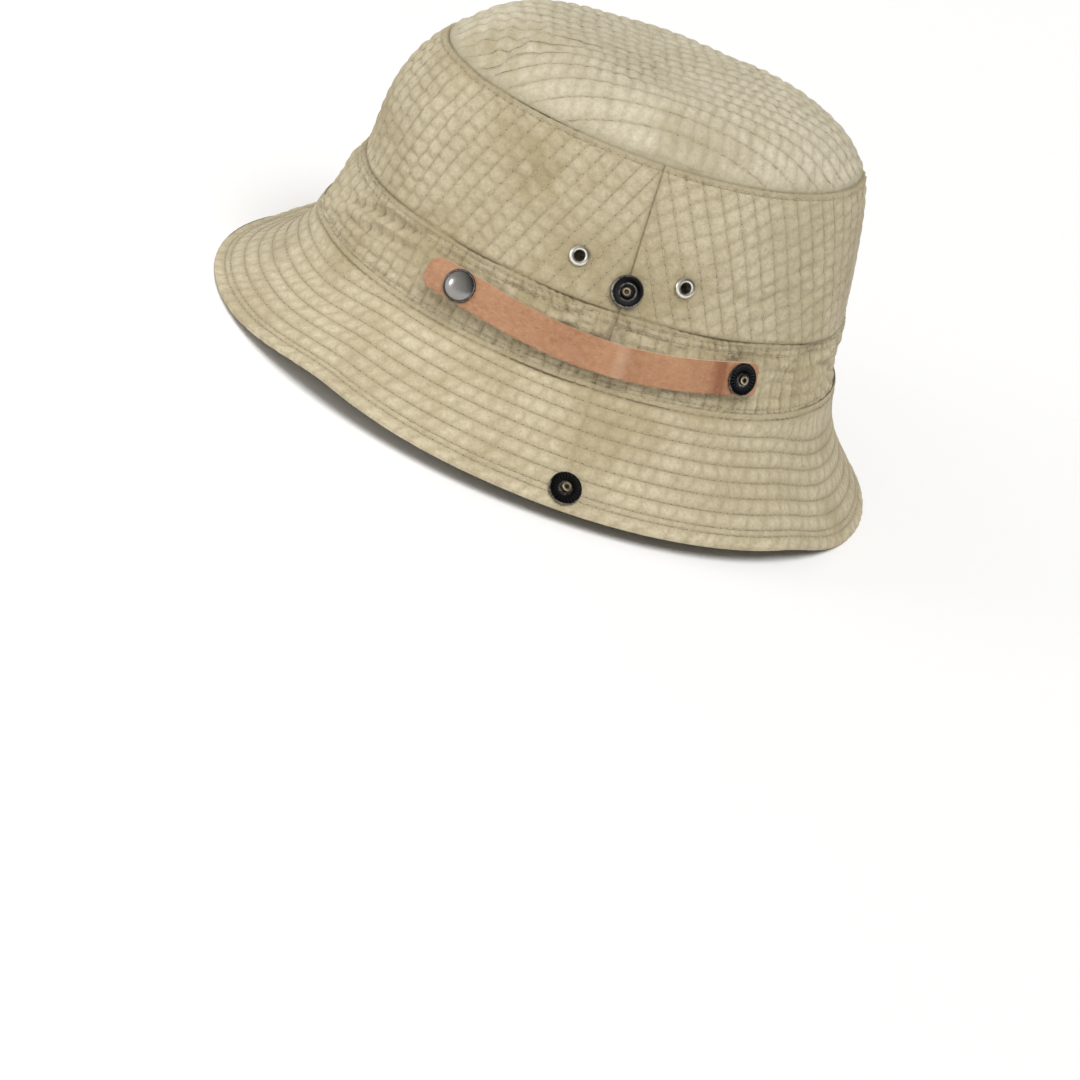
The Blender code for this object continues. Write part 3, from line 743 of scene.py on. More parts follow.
def band_lines(part):
    start = 90.0 if part == "front" else -90.0
    T_grid, arc = BAND_ARC
    first, last = np.interp([start + 0.8, start + 179.2], T_grid, arc)
    lines = []
    along = start + np.linspace(0.4, 179.6, 1200)
    length = slant(straight_band, along)
    top, low = BAND_ROWS_TOP[-1] + 0.8, BAND_ROWS_LOW[-1] + 0.8
    for k in range(math.ceil(first / LINE_PITCH), math.floor(last / LINE_PITCH) + 1):
        at = np.interp(k * LINE_PITCH, arc, T_grid)
        full = np.interp(at, along, length)
        w = np.linspace(top / full, 1 - low / full, 50)
        lines.append((np.full_like(w, at), w))
    lines += [(along, row / length) for row in BAND_ROWS_TOP]
    lines += [(along, 1 - row / length) for row in BAND_ROWS_LOW]
    return lines


def tip_lines():
    lines = []
    a, b = TIP_SEAM["a"], TIP_SEAM["b"]
    reach = int(b // LINE_PITCH)
    for x in LINE_PITCH * (np.arange(-reach - 1, reach + 1) + 0.5):
        if abs(x) < b - 1.5:
            half = a * math.sqrt(1 - (x / b) ** 2) - 1.6
            y = np.linspace(-half, half, 400)
            T = np.degrees(np.arctan2(x / b, y / a))
            lines.append((T, np.hypot(x / b, y / a)))
    return lines


def brim_lines(T_range):
    T = np.linspace(*T_range, 1400)
    return [(T, 1 - row / slant(straight_brim, T)) for row in BRIM_ROWS]


def brim_side(which):
    def surface(T, w):
        d = 0.05
        moves = ((0, 0), (d, 0), (-d, 0), (0, 0.002), (0, -0.002))
        sheets = [brim_faces(T + a, w + b)[which] for a, b in moves]
        n = np.cross(sheets[1] - sheets[2], sheets[3] - sheets[4])
        n /= np.linalg.norm(n, axis=-1, keepdims=True)
        return sheets[0], n if which == 0 else -n

    return surface


# ---- turned metal --------------------------------------------------------------------------
def place_at(base, T, w, on_middle=False):
    """Origin and axes (right, up the cloth, out) of a fitting on a panel."""
    T, w = np.array([float(T)]), np.array([float(w)])
    p, n = base(T, w)[0], normals(base, T, w)[0]
    up = (base(T, w - 0.01) - base(T, w + 0.01))[0]
    up -= n * up.dot(n)
    up /= np.linalg.norm(up)
    if on_middle:
        p[1] = 0.0
    return p, np.cross(up, n), up, n


def rounded(profile, passes=2):
    """Corner cutting: each pass replaces a corner with two points beside it."""
    pts = np.array(profile, float)
    open_ends = pts[0, 0] == 0
    for _ in range(passes):
        if open_ends:
            a, b = pts[:-1], pts[1:]
        else:
            a, b = pts, np.roll(pts, -1, axis=0)
        cut = np.stack([a * 0.78 + b * 0.22, a * 0.22 + b * 0.78], 1).reshape(-1, pts.shape[1])
        pts = np.concatenate([pts[:1], cut[1:-1], pts[-1:]]) if open_ends else cut
    return pts


def turned(name, place, profile, material, segments, ridges):
    """A turned piece. Each profile point is (radius, height, wear); ridges are pressed in."""
    pts = rounded(profile)
    origin, right, up, out = place
    turn = np.linspace(0, 2 * np.pi, segments, endpoint=False)[:, None]
    r, h, wear = (np.broadcast_to(pts[:, k], (segments, len(pts))) for k in range(3))
    if ridges:
        face = smooth((r - 3.3) / 0.4) * smooth((5.2 - r) / 0.4) * (h > 0.7)
        h = h + 0.13 * face * np.cos(ridges * turn)
        wear = np.clip(wear + 0.25 * face * np.cos(ridges * turn), 0, 1)
    spokes = np.cos(turn)[..., None] * right + np.sin(turn)[..., None] * up
    p = origin + spokes * r[..., None] + out * h[..., None]
    n, m = p.shape[:2]
    if pts[0, 0] > 0:
        quads = grid_cells(n, m, True, True)
        return mesh_object(name, p.reshape(-1, 3), [quads], material, {"wear": wear})
    body = p[:, 1:-1]
    m = body.shape[1]
    quads = grid_cells(n, m, True)
    i = np.arange(n)
    k = (i + 1) % n
    top, low = n * m, n * m + 1
    fans = np.concatenate([
        np.stack([k * m, i * m, np.full(n, top)], -1),
        np.stack([i * m + m - 1, k * m + m - 1, np.full(n, low)], -1),
    ])
    verts = np.concatenate([body.reshape(-1, 3), p[0, :1], p[0, -1:]])
    field = np.append(wear[:, 1:-1].ravel(), [wear[0, 0], wear[0, -1]])
    return mesh_object(name, verts, [quads, fans], material, {"wear": field})


def stud_disc(lift):
    """The black dished disc round a stud's post."""
    points = [(1.75, 0.3, 0), (5.3, 0.3, 0), (5.85, 0.5, 0.3), (6.0, 0.95, 0.7), (5.65, 1.3, 0.6)]
    points += [(5.2, 1.25, 0.3), (4.6, 1.0, 0.1), (3.5, 0.95, 0.1), (2.9, 1.05, 0.3), (2.4, 1.35, 0.7)]
    points += [(1.9, 1.45, 0.7), (1.75, 1.3, 0.3)]
    return [(r, h + lift, wear) for r, h, wear in points]


def hollow_post(depth, top, base):
    """A tube rivet with a flared lip above and a flat head behind the cloth."""
    points = [(0.75, -depth, 0), (0.75, top - 0.2, 0.2), (0.9, top, 0.9), (1.3, top + 0.05, 1)]
    points += [(1.62, top - 0.1, 0.8), (1.65, top - 0.4, 0.5), (1.45, top - 0.7, 0.2), (1.45, -depth, 0)]
    points += [(base - 0.3, -depth, 0.2), (base, -depth - 0.25, 0.6), (base - 0.3, -depth - 0.55, 0.6)]
    return points + [(0.75, -depth - 0.55, 0.4)]


RIDGED = ("stud_disc_left", "stud_disc_right", "strap_stud")
SOCKET_RING = [
    (2.55, 0.95, 0), (2.6, 2.2, 0.4), (2.85, 2.6, 0.9), (3.3, 2.65, 0.6), (3.8, 2.4, 0.15),
    (4.5, 2.05, 0.05), (5.1, 2.1, 0.4), (5.6, 1.9, 1.0), (5.95, 1.35, 0.9), (5.95, 0.7, 0.3),
    (5.7, 0.3, 0), (1.95, 0.3, 0), (1.95, 0.95, 0),
]
EYELET_RING = [
    (1.9, -3.8, 0), (1.9, 0.55, 0.2), (2.1, 1.05, 0.8), (2.55, 1.32, 1), (3.05, 1.2, 0.7),
    (3.5, 0.85, 0.5), (3.75, 0.45, 0.4), (3.6, 0.25, 0), (2.4, 0.3, 0), (2.4, -3.8, 0),
]
WASHER_RING = [
    (2.65, -3.5, 0), (3.7, -3.5, 0.3), (3.95, -3.8, 0.7), (3.6, -4.12, 0.6), (2.8, -4.2, 0.8),
    (2.6, -3.9, 0.5),
]


# ---- strap ---------------------------------------------------------------------------------
def strap_middle(T):
    share = np.clip((T - STRAP_STUD) / (STRAP_CAP - STRAP_STUD), 0, 1)
    return 1 - (STRAP_END_V - (STRAP_END_V - STRAP_MID_V) * np.sin(np.pi * share) ** 1.2)


def strap_standoff(T):
    return 0.45 + 1.95 * np.clip((T - STRAP_FOLD) / (114.0 - STRAP_FOLD), 0, 1) ** 1.6


def strap_point(T, u, lift):
    """On the strap: u mm up from its middle line, lift mm above its underside."""
    w = strap_middle(T)
    n = normals(straight_band, T, w)
    up = straight_band(T, w - 0.01) - straight_band(T, w + 0.01)
    up -= n * (up * n).sum(-1, keepdims=True)
    up /= np.linalg.norm(up, axis=-1, keepdims=True)
    return straight_band(T, w) + up * u[..., None] + n * (strap_standoff(T) + lift)[..., None]


def strap_outline(T):
    """Half width along the strap, with a round front end and small rear corners."""
    half = STRAP_WIDTH / 2
    width = np.full_like(T, half)
    for gap, radius in ((STRAP_FRONT_END - T, 5.0), (T - STRAP_REAR_END, 2.5)):
        inside = np.clip(radius - gap * STRAP_PER_DEGREE, 0, radius)
        width = np.minimum(width, half - radius + np.sqrt(radius**2 - inside**2))
    return width


def build_strap(material):
    """One strip of leather with rounded, pale cut edges."""
    ends = 0.5 - 0.5 * np.cos(np.linspace(0, np.pi / 2, 24))
    span = STRAP_FRONT_END - STRAP_REAR_END
    middle = np.linspace(4, span - 4, 340)[1:-1]
    T = STRAP_REAR_END + np.concatenate([4 * ends / 0.5, middle, span - 4 * ends[::-1] / 0.5])
    across = [(s, 0.5, 0.0) for s in np.linspace(-0.93, 0.93, 23)]
    across = [(-0.985, 0.44, 0.7)] + across + [(0.985, 0.44, 0.7)]
    rim_right = [(1.0, 0.25, 1.0), (1.0, -0.25, 1.0), (0.985, -0.44, 0.7)]
    under = [(s, -0.5, 0.0) for s in np.linspace(0.93, -0.93, 9)]
    rim_left = [(-0.985, -0.44, 0.7), (-1.0, -0.25, 1.0), (-1.0, 0.25, 1.0)]
    loop = np.array(across + rim_right + under + rim_left)
    half = strap_outline(T)
    TT = np.repeat(T[:, None], len(loop), axis=1)
    u = half[:, None] * loop[None, :, 0]
    end_gap = np.minimum(T - STRAP_REAR_END, STRAP_FRONT_END - T) * STRAP_PER_DEGREE
    thin = rim_taper(end_gap + 0.05, 0.5)[:, None]
    bend = 1.25 * bell(TT - 87.0, 2.6) - 0.4 * bell(TT - 81.5, 3.0) - 0.4 * bell(TT - 93.0, 3.6)
    arch = 0.25 * (1 - loop[None, :, 0] ** 2) * np.ones_like(TT)
    flat = np.stack([TT * STRAP_PER_DEGREE, u, 0 * u], -1)
    grain = noise(flat, 9, 61) * 0.06
    lift = STRAP_THICK * (0.5 + loop[None, :, 1] * thin) + bend + (arch + grain) * (loop[None, :, 1] > 0)
    p = strap_point(TT, u, lift)
    n, m = TT.shape
    quads = grid_cells(n, m, False, True)
    caps = np.stack([np.arange(m)[::-1], (n - 1) * m + np.arange(m)])
    cut = np.repeat(loop[None, :, 2], n, axis=0)
    cut = np.maximum(cut, bell(end_gap, 0.35)[:, None])
    # painted highlight: the pale cut-edge colour laid across the bend at T 87
    cut = np.maximum(cut, 0.69 * bell(TT - 87.0, 4.6))
    crease_at = 0.75 * bell(TT - 65.4, 1.7) + 0.3 * bell(TT - 64.3, 0.4) - 0.2 * bell(TT - 67.8, 0.5)
    fields, flat = {"cut_edge_and_highlight": cut, "crease": crease_at}, flat.reshape(-1, 3)
    return mesh_object("leather_strap", p.reshape(-1, 3), [quads, caps], material, fields, flat)


# ---- materials -----------------------------------------------------------------------------
def node_material(name):
    material = bpy.data.materials.new(name)
    material.use_nodes = True
    tree = material.node_tree
    return material, tree, tree.nodes["Principled BSDF"]


def feed(tree, node, **inputs):
    """Wire or set inputs of a node by name, with _ for each space."""
    for key, value in inputs.items():
        socket = node.inputs[key.replace("_", " ")]
        if isinstance(value, bpy.types.NodeSocket):
            tree.links.new(value, socket)
        else:
            socket.default_value = value


def add(tree, kind, **inputs):
    node = tree.nodes.new(kind)
    feed(tree, node, **inputs)
    return node


def attribute(tree, name, output="Fac"):
    node = tree.nodes.new("ShaderNodeAttribute")
    node.attribute_name = name
    return node.outputs[output]


def noise_node(tree, coords, scale, detail=4.0, roughness=0.6):
    inputs = dict(Vector=coords, Scale=scale, Detail=detail, Roughness=roughness)
    return add(tree, "ShaderNodeTexNoise", **inputs).outputs[0]


def mix_color(tree, factor, a, b):
    node = tree.nodes.new("ShaderNodeMix")
    node.data_type = "RGBA"
    for socket, value in ((node.inputs[6], a), (node.inputs[7], b)):
        if isinstance(value, tuple):
            socket.default_value = (*value, 1.0)
        else:
            tree.links.new(value, socket)
    tree.links.new(factor, node.inputs[0])
    return node.outputs[2]


def spread(tree, value, low, high, to_low=0.0, to_high=1.0):
    inputs = dict(Value=value, From_Min=low, From_Max=high, To_Min=to_low, To_Max=to_high)
    return add(tree, "ShaderNodeMapRange", **inputs).outputs[0]


def bumps(tree, shader, layers):
    """Stack bump layers of (height, distance, strength) onto a shader's normal."""
    normal = {}
    for height, distance, strength in layers:
        node = add(tree, "ShaderNodeBump", Strength=strength, Distance=distance, Height=height, **normal)
        normal = dict(Normal=node.outputs[0])
    feed(tree, shader, **normal)


def darker(color, share):
    return tuple(c * share for c in color)


def cloth_material(name, light, shade, stain_and_shade, groove, quilted=True):
    """Washed twill: mottled and stained, with painted shade in patches, in the hollows between puckers
    and along stitch lines and seams; raised cloth is paler, partly from wear.
    """
    material, tree, shader = node_material(name)
    where = attribute(tree, "cloth_at", "Vector")
    coords = tree.nodes.new("ShaderNodeTexCoord").outputs["Object"]
    base = mix_color(tree, spread(tree, noise_node(tree, coords, 42.0), 0.38, 0.62), light, shade)
    patches = spread(tree, noise_node(tree, coords, 21.0, 3.0, 0.5), 0.56, 0.72, 0.0, 0.6)
    base = mix_color(tree, patches, base, stain_and_shade)
    # dark patches: stains, and painted shade in some, such as at the tip's front
    base = mix_color(tree, spread(tree, attribute(tree, "stain_and_shade"), 0.0, 1.0, 0.0, 0.8), base, stain_and_shade)
    # painted shade in the hollows between puckers; the paler raised tops are partly wear
    hollow_shade_and_wear = spread(tree, attribute(tree, "raised"), 0.0, 0.85, 0.46 if quilted else 0.1, 0.0)
    base = mix_color(tree, hollow_shade_and_wear, base, groove)
    speck = spread(tree, noise_node(tree, coords, 560.0, 6.0, 0.75), 0.42, 0.66, 0.0, 0.46)
    base = mix_color(tree, speck, base, groove)
    # painted shade along stitch lines, rows of topstitching and seams
    lines = spread(tree, attribute(tree, "groove"), 0.1, 1.0, 0.0, 0.75)
    base = mix_color(tree, lines, base, darker(groove, 0.62))
    feed(tree, shader, Base_Color=base, Roughness=0.93, Specular_IOR_Level=0.2)
    feed(tree, shader, Sheen_Weight=0.12, Sheen_Roughness=0.5)
    twill = add(tree, "ShaderNodeTexWave", Vector=where, Scale=1000.0, Distortion=1.2, Detail=1.0)
    twill.bands_direction = "DIAGONAL"
    crumple = noise_node(tree, coords, 300.0, 5.0, 0.62)
    fuzz = noise_node(tree, coords, 1700.0, 4.0, 0.7)
    nap = noise_node(tree, coords, 820.0, 5.0, 0.7)
    weave = (twill.outputs[1], 0.00004, 0.35)
    bumps(tree, shader, ((crumple, 0.0012, 0.85), (nap, 0.0005, 0.8), weave, (fuzz, 0.00012, 0.6)))
    return material


def thread_material(name, color):
    material, tree, shader = node_material(name)
    coords = tree.nodes.new("ShaderNodeTexCoord").outputs["Object"]
    tone = spread(tree, noise_node(tree, coords, 90.0), 0.35, 0.65)
    thread = mix_color(tree, tone, color, darker(color, 0.75))
    # painted shade of the needle holes at both ends of each stitch
    holes = spread(tree, attribute(tree, "needle_hole_shade"), 0.25, 0.9, 0.0, 0.85)
    base = mix_color(tree, holes, thread, darker(color, 0.14))
    feed(tree, shader, Base_Color=base, Roughness=0.75, Sheen_Weight=0.2)
    bumps(tree, shader, ((noise_node(tree, coords, 4000.0), 0.00005, 0.8),))
    return material


def leather_material():
    """Fine-grained tan leather: pale where it is cut, with a painted highlight across its bend, darker in
    its crease.
    """
    material, tree, shader = node_material("tan_leather")
    where = attribute(tree, "cloth_at", "Vector")
    tone = spread(tree, noise_node(tree, where, 55.0, 5.0, 0.6), 0.36, 0.64)
    base = mix_color(tree, tone, (0.462, 0.24, 0.127), (0.36, 0.168, 0.083))
    blotch = spread(tree, noise_node(tree, where, 420.0, 6.0, 0.75), 0.42, 0.62, 0.0, 0.55)
    base = mix_color(tree, blotch, base, (0.52, 0.30, 0.175))
    bent = spread(tree, attribute(tree, "crease"), 0.0, 1.0, 0.0, 0.75)
    base = mix_color(tree, bent, base, (0.20, 0.055, 0.025))
    # pale along the cut edges, and a painted highlight across the bend
    pale = spread(tree, attribute(tree, "cut_edge_and_highlight"), 0.6, 1.0, 0.0, 0.8)
    base = mix_color(tree, pale, base, (0.78, 0.60, 0.45))
    rough = spread(tree, noise_node(tree, where, 500.0), 0.3, 0.7, 0.3, 0.5)
    feed(tree, shader, Base_Color=base, Roughness=rough, Specular_IOR_Level=0.45)
    cells = add(tree, "ShaderNodeTexVoronoi", Vector=where, Scale=950.0)
    wrinkle = noise_node(tree, where, 700.0, 4.0, 0.6)
    bumps(tree, shader, ((wrinkle, 0.0007, 0.85), (cells.outputs["Distance"], 0.0003, 0.8)))
    return material


def metal_material(name, color, worn_color, roughness, grain):
    """Plated metal with a second colour along its rims: paler where the plating has rubbed thin, darker
    along the steel cap's rolled rim.
    """
    material, tree, shader = node_material(name)
    coords = tree.nodes.new("ShaderNodeTexCoord").outputs["Object"]
    blotch = noise_node(tree, coords, 900.0, 4.0, 0.65)
    wear = tree.nodes.new("ShaderNodeMath")
    wear.operation = "MULTIPLY"
    tree.links.new(attribute(tree, "wear"), wear.inputs[0])
    tree.links.new(spread(tree, blotch, 0.3, 0.6, 0.45, 1.15), wear.inputs[1])
    base = mix_color(tree, spread(tree, wear.outputs[0], 0.45, 0.8), color, worn_color)
    rough = spread(tree, noise_node(tree, coords, 600.0), 0.3, 0.7, roughness * 0.8, roughness * 1.3)
    feed(tree, shader, Base_Color=base, Metallic=1.0, Roughness=rough)
    bumps(tree, shader, ((noise_node(tree, coords, 2200.0), grain, 0.5),))
    return material


# cloths: their colour where lit, where shaded, in stains and painted shade, and the painted shade of
# grooves and hollows
CLOTHS = {
    "khaki_twill": ((0.64, 0.563, 0.398), (0.55, 0.472, 0.322), (0.40, 0.325, 0.18), (0.33, 0.27, 0.15)),
    # a paler, greyer copy of the khaki for the tip: painted light where the sky falls on the hat's top
    "tip_lit_twill": ((0.71, 0.65, 0.50), (0.62, 0.56, 0.42), (0.47, 0.395, 0.245), (0.39, 0.335, 0.21)),
    # a brighter copy of the khaki for the brim: painted light
    "brim_lit_twill": (
        (0.685, 0.602, 0.426), (0.588, 0.505, 0.345), (0.41, 0.333, 0.185), (0.35, 0.286, 0.16),
    ),
    "lining_cotton": ((0.62, 0.56, 0.42), (0.56, 0.50, 0.37), (0.50, 0.44, 0.31), (0.42, 0.36, 0.24)),
    "twill_tape": ((0.50, 0.43, 0.29), (0.44, 0.37, 0.24), (0.38, 0.31, 0.19), (0.28, 0.23, 0.13)),
}
# metals: their colour, their colour along the rims (rubbed plating; on the steel cap, a darker rolled
# rim), roughness and depth of grain
METALS = {
    "black_oxide": ((0.032, 0.031, 0.033), (0.30, 0.285, 0.27), 0.38, 0.00003),
    "smoked_steel": ((0.33, 0.315, 0.30), (0.09, 0.085, 0.08), 0.22, 0.000004),
    "dull_brass": ((0.42, 0.32, 0.18), (0.80, 0.70, 0.52), 0.32, 0.00003),
    "warm_nickel": ((0.78, 0.75, 0.66), (0.93, 0.91, 0.84), 0.34, 0.00003),
}


# ---- camera, floor and light ---------------------------------------------------------------
CAMERA_AT = Vector((1149.0, -233.3, 473.9)) * MM
CAMERA_RIGHT = Vector((0.0322, 0.9257, 0.3770))
CAMERA_FORWARD = Vector((-0.8875, 0.1999, -0.4152))
CAMERA_LENS, FILM = 111.39, 36.0
KEY, KEY_FROM = 2.45, (0.42, 0.10, 0.9)  # strength of the main light, and where it comes from
SKY_BACK, SKY_FRONT = 0.06, 0.86


def build_camera():
    forward = CAMERA_FORWARD.normalized()
    right = (CAMERA_RIGHT - forward * CAMERA_RIGHT.dot(forward)).normalized()
    turn = Matrix((right, right.cross(forward), -forward)).transposed().to_4x4()
    camera = bpy.data.objects.new("camera", bpy.data.cameras.new("camera"))
    camera.matrix_world = Matrix.Translation(CAMERA_AT) @ turn
    camera.data.lens, camera.data.sensor_width = CAMERA_LENS, FILM
    camera.data.clip_start, camera.data.clip_end = 0.05, 20.0
    bpy.context.collection.objects.link(camera)
    bpy.context.scene.camera = camera


def area_light(name, at, size, power):
    light = bpy.data.lights.new(name, "AREA")
    light.shape, light.size, light.energy = "DISK", size, power
    obj = bpy.data.objects.new(name, light)
    obj.location = at
    obj.rotation_euler = (Vector((0, 0, 0.06)) - Vector(at)).to_track_quat("-Z", "Y").to_euler()
    bpy.context.collection.objects.link(obj)


def sky():
    """Soft studio light all round, brighter on the side of the hat's front."""
    world = bpy.data.worlds.new("studio")
    bpy.context.scene.world = world
    world.use_nodes = True
    tree = world.node_tree
    toward = tree.nodes.new("ShaderNodeVectorMath")
    toward.operation = "DOT_PRODUCT"
    toward.inputs[1].default_value = (0.1, -0.8, -0.6)
    tree.links.new(tree.nodes.new("ShaderNodeTexCoord").outputs["Generated"], toward.inputs[0])
    glow = spread(tree, toward.outputs["Value"], -0.9, 0.9, SKY_BACK, SKY_FRONT)
    background = tree.nodes["Background"]
    background.inputs[0].default_value = (1.0, 0.985, 0.96, 1)
    tree.links.new(glow, background.inputs[1])


def build_studio():
    material, tree, shader = node_material("stage")
    feed(tree, shader, Base_Color=(1.0, 1.0, 1.0, 1), Roughness=1.0, Specular_IOR_Level=0.0)
    reach, below = 60000.0, 0.05
    corners = [(x * reach, y * reach, -below) for x, y in ((-1, -1), (1, -1), (1, 1), (-1, 1))]
    floor = mesh_object("floor", corners, [np.array([[0, 1, 2, 3]])], material, closed=False)
    sky()
    sun = bpy.data.lights.new("key", "SUN")
    sun.energy, sun.angle = KEY, math.radians(42)
    key = bpy.data.objects.new("key", sun)
    key.rotation_euler = Vector(KEY_FROM).to_track_quat("Z", "Y").to_euler()
    key.visible_glossy = False  # metal and leather mirror the sky and the window only
    bpy.context.collection.objects.link(key)
    area_light("window", (0.3, -1.4, 0.25), 0.45, 3.4)
    bpy.context.scene.view_settings.view_transform = "Standard"


# ---- the hat -------------------------------------------------------------------------------
def cut_size(base, T_range, w_range, rounds=False):
    """Width, length and area of the flat cloth that a panel was cut from, in metres."""
    T, w = grid(T_range, 181, w_range, 41)
    p = base(T, w)
    across = np.linalg.norm(np.diff(p, axis=0), axis=-1)
    down = np.linalg.norm(np.diff(p, axis=1), axis=-1)
    strip = (across[:, 1:] + across[:, :-1]) / 2 * (down[1:] + down[:-1]) / 2
    width, length = across.sum(axis=0).max(), down.sum(axis=1).max()
    if rounds:
        width, length = 2 * down[45].sum(), 2 * down[0].sum()
    return (width * MM, length * MM), strip.sum() * MM**2


def declare(obj, base, T_range, w_range, rounds=False):
    flat, area = cut_size(base, T_range, w_range, rounds)
    min(area, flat[0] * flat[1])


def ride(obj, body, *nodes):
    if nodes:
        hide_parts(*nodes)
    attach(obj, body)


def sew(node, obj, *cut, **facts):
    """A piece of cloth, which stands for a node of the crown: the node is hidden and the cloth rides on
    the root.
    """
    declare(obj, *cut, **facts)
    ride(obj, "root", node)


def fittings():
    """Origin and axes of every fitting. Cloth and stitches keep clear of them."""
    side = np.array([90.0])
    socket_w = 1 - (SOCKET_UP - slant(straight_band, side)[0]) / slant(straight_side, side)[0]
    stud_w = STUD_DOWN / slant(straight_brim, side)[0]
    hands = (("left", 90.0), ("right", 270.0))
    places = {("socket", hand): place_at(straight_side, T, socket_w, True) for hand, T in hands}
    places.update({("stud", hand): place_at(brim_base, T, stud_w, True) for hand, T in hands})
    for hand, turn in (("left", 1), ("right", -1)):
        for end, (angle, w) in zip(("front", "rear"), EYELETS):
            places[f"{end}_{hand}"] = place_at(straight_side, turn * angle % 360, w)
    places["cap"] = place_at(straight_band, STRAP_CAP, strap_middle(STRAP_CAP))
    places["rear stud"] = place_at(straight_band, STRAP_STUD, strap_middle(STRAP_STUD))
    METAL_SPOTS.extend(place[0] for place in places.values())
    return places


def build_tip(tip_lit_cloth, plain, thread):
    cut = (tip_base, (0, 360))
    tip = tip_layer("cloth_tip", (0.0, SHELL), TIP_REACH, TIP_GRID, tip_relief, tip_lit_cloth)
    sew("crown_tip", tip, *cut, TIP_REACH, rounds=True)
    ride(stitches("stitches_tip", tip_lines(), raised(tip_base, tip_relief), thread), "root")
    depths, relief = (TIP_LINING_DEPTH, TIP_LINING_DEPTH + LINING), tip_lining_relief
    lining = tip_layer("lining_of_tip", depths, TIP_LINING_REACH, TIP_LINING_GRID, relief, plain)
    sew("lining_tip", lining, *cut, TIP_LINING_REACH, rounds=True)


def build_wall(part, T_range, holes, khaki, plain, thread):
    """The crown's side, its lining and the band, round the front or the back of the hat."""
    T, w = grid(T_range, SIDE_GRID[0], WHOLE, SIDE_GRID[1])
    relief = side_relief(part)
    side = cloth_layer("cloth_side_" + part, side_base, relief, T, w, (0.0, SHELL), khaki, holes)
    sew("crown_side_" + part, side, side_base, T_range, WHOLE)
    ride(stitches("stitches_side_" + part, side_lines(part), raised(side_base, relief), thread), "root")
    T, w = grid(T_range, LINING_GRID[0], LINING_REACH, LINING_GRID[1])
    depths, relief = (LINING_DEPTH, LINING_DEPTH + LINING), plain_relief(81, 0.2)
    name = "lining_of_side_" + part
    lining = cloth_layer(name, side_base, relief, T, w, depths, plain, holes, inside=True)
    sew("lining_side_" + part, lining, side_base, T_range, LINING_REACH)
    T, w = grid(T_range, BAND_GRID[0], BAND_REACH, BAND_GRID[1])
    band = cloth_layer("cloth_band_" + part, band_base, band_relief, T, w, (0.0, SHELL), khaki)
    sew("band_" + part, band, band_base, T_range, WHOLE)
    surface = raised(band_base, band_relief)
    ride(stitches("stitches_band_" + part, band_lines(part), surface, thread), "root")


def build_sweatband(tape):
    T, w = grid((0, 360), SWEATBAND_GRID[0], SWEATBAND_REACH, SWEATBAND_GRID[1], closed=True)
    depths, relief = (SWEATBAND_DEPTH, SWEATBAND_DEPTH + SWEATBAND), plain_relief(91, 0.15)
    loop = cloth_layer("sweatband_tape", band_base, relief, T, w, depths, tape, closed=True, inside=True)
    sew("sweatband", loop, band_base, (0, 360), SWEATBAND_REACH)


def build_flap(hand, brim_lit_cloth, thread):
    """One half of the brim, with the stitches on both its faces."""
    T_range, sign = ((0, 180), 1) if hand == "left" else ((180, 360), -1)
    brim = build_brim("cloth_brim_" + hand, T_range, brim_lit_cloth)
    nodes = [f"flap_{hand}_upper", f"flap_{hand}_under"]
    if hand == "left":
        nodes += ["brim_front_upper", "brim_front_under", "brim_back_upper", "brim_back_under"]
    declare(brim, brim_base, T_range, BRIM_REACH)
    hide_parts(*nodes)
    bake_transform(brim)
    for which, side in enumerate(("upper", "under")):
        name = f"stitches_brim_{hand}_{side}"
        sewn = stitches(name, brim_lines(T_range), brim_side(which), thread)
        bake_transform(sewn)


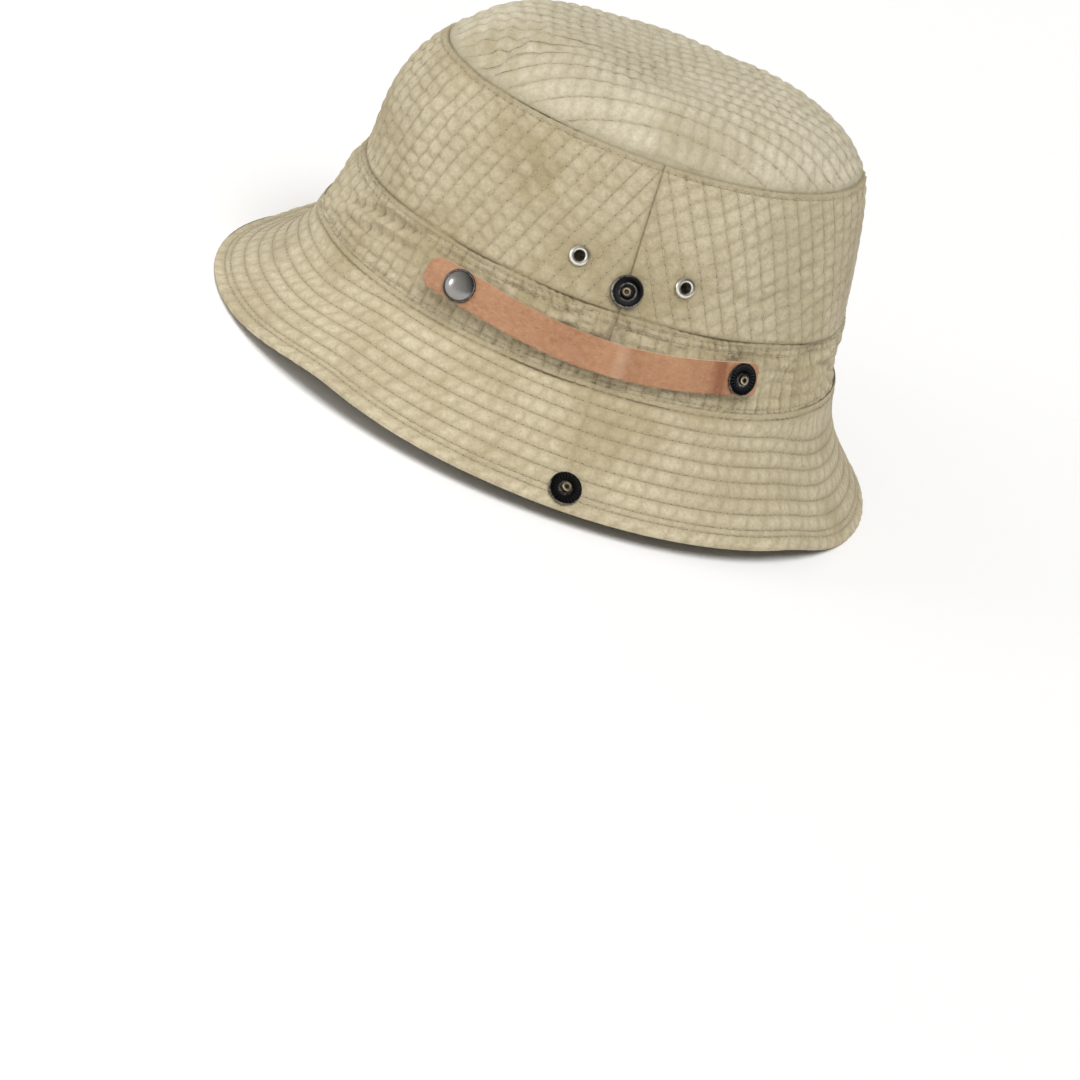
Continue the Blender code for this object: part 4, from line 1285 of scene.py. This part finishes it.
def build_metal(places, black, steel, brass, nickel):
    """Every turned piece: its name, place, profile, metal, body and the node it stands for."""
    pieces = []
    for hand in ("left", "right"):
        socket, stud, flap = places["socket", hand], places["stud", hand], "flap_" + hand
        rivet, post = hollow_post(3.65, 0.75, 4.6), hollow_post(3.3, 3.2, 3.4)
        pieces += [
            ("socket_" + hand, socket, SOCKET_RING, black, "root", "crown_socket_" + hand),
            ("socket_rivet_" + hand, socket, rivet, brass, "root", "crown_socket_post_" + hand),
            ("stud_disc_" + hand, stud, stud_disc(0.0), black, flap, "brim_stud_disc_" + hand),
            ("stud_rivet_" + hand, stud, post, brass, flap, "brim_stud_post_" + hand),
        ]
        for end in (f"front_{hand}", f"rear_{hand}"):
            place = places[end]
            pieces.append(("eyelet_ring_" + end, place, EYELET_RING, nickel, "root", "eyelet_" + end))
            pieces.append(("washer_" + end, place, WASHER_RING, nickel, "root", "eyelet_washer_" + end))

    cap, rear, under = places["cap"], places["rear stud"], strap_standoff(STRAP_CAP)
    face, top = under + STRAP_THICK + 0.25, strap_standoff(STRAP_STUD) + STRAP_THICK
    dome = [(0, 2.55, 0), (1.6, 2.45, 0), (3.2, 2.1, 0), (4.4, 1.5, 0), (5.1, 0.95, 0.1)]
    dome += [(5.3, 0.65, 1.8), (5.6, 0.9, 0.2), (5.9, 0.8, 1.8), (6.05, 0.5, 1.8), (5.9, 0.1, 0)]
    dome = [(r, face + h, wear) for r, h, wear in dome]
    dome += [(1.5, face, 0), (1.5, under - 0.1, 0), (0, under - 0.1, 0)]
    low, high = under - 1.25, under - 0.55
    snap = [(2.6, low, 0), (2.6, high, 0), (5.0, high, 0), (5.0, low, 0)]
    base_ring = [(1.8, 0.25, 0), (5.0, 0.25, 0), (5.0, 0.85, 0.6), (1.8, 0.85, 0)]
    pieces += [
        ("strap_cap_dome", cap, dome, steel, "strap", "strap_cap"),
        ("strap_snap", cap, snap, black, "strap", "strap_socket"),
        ("band_stud", cap, base_ring, black, "root", "band_stud_disc"),
        ("band_stud_rivet", cap, hollow_post(2.5, 2.0, 4.6), brass, "root", "band_stud_post"),
        ("strap_stud", rear, stud_disc(top), black, "root", "strap_stud_disc"),
        ("strap_stud_rivet", rear, hollow_post(2.5, top + 2.4, 4.6), brass, "root", "strap_stud_post"),
    ]
    for name, place, profile, metal, body, node in pieces:
        segments, ridges = (144, 24) if name in RIDGED else (72, 0)
        ride(turned(name, place, profile, metal, segments, ridges), body, node)


def build_all():
    places = fittings()
    khaki, tip_lit_cloth, brim_lit_cloth, plain, tape = (
        cloth_material(name, *tones, name.endswith("_twill")) for name, tones in CLOTHS.items()
    )
    thread = thread_material("khaki_thread", (0.51, 0.44, 0.30))
    leather = leather_material()
    black, steel, brass, nickel = (metal_material(name, *facts) for name, facts in METALS.items())

    build_tip(tip_lit_cloth, plain, thread)
    for part, end, T_range in (("front", "front", (90, 270)), ("back", "rear", (-90, 90))):
        holes = [(places[f"{end}_{hand}"][0], EYELET_HOLE) for hand in ("left", "right")]
        build_wall(part, T_range, holes, khaki, plain, thread)
    build_sweatband(tape)
    for hand in ("left", "right"):
        build_flap(hand, brim_lit_cloth, thread)

    strap = build_strap(leather)
    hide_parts("strap_front", "strap_rear")
    zero, middle = np.array([0.0]), np.array([0.9])
    start, end = (strap_point(np.array([T]), zero, middle)[0] * MM for T in STRAP_BEND)
    tuple(start)
    tuple(end)
    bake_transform(strap)

    build_metal(places, black, steel, brass, nickel)


def main():
    build_camera()
    build_studio()
    build_all()


main()
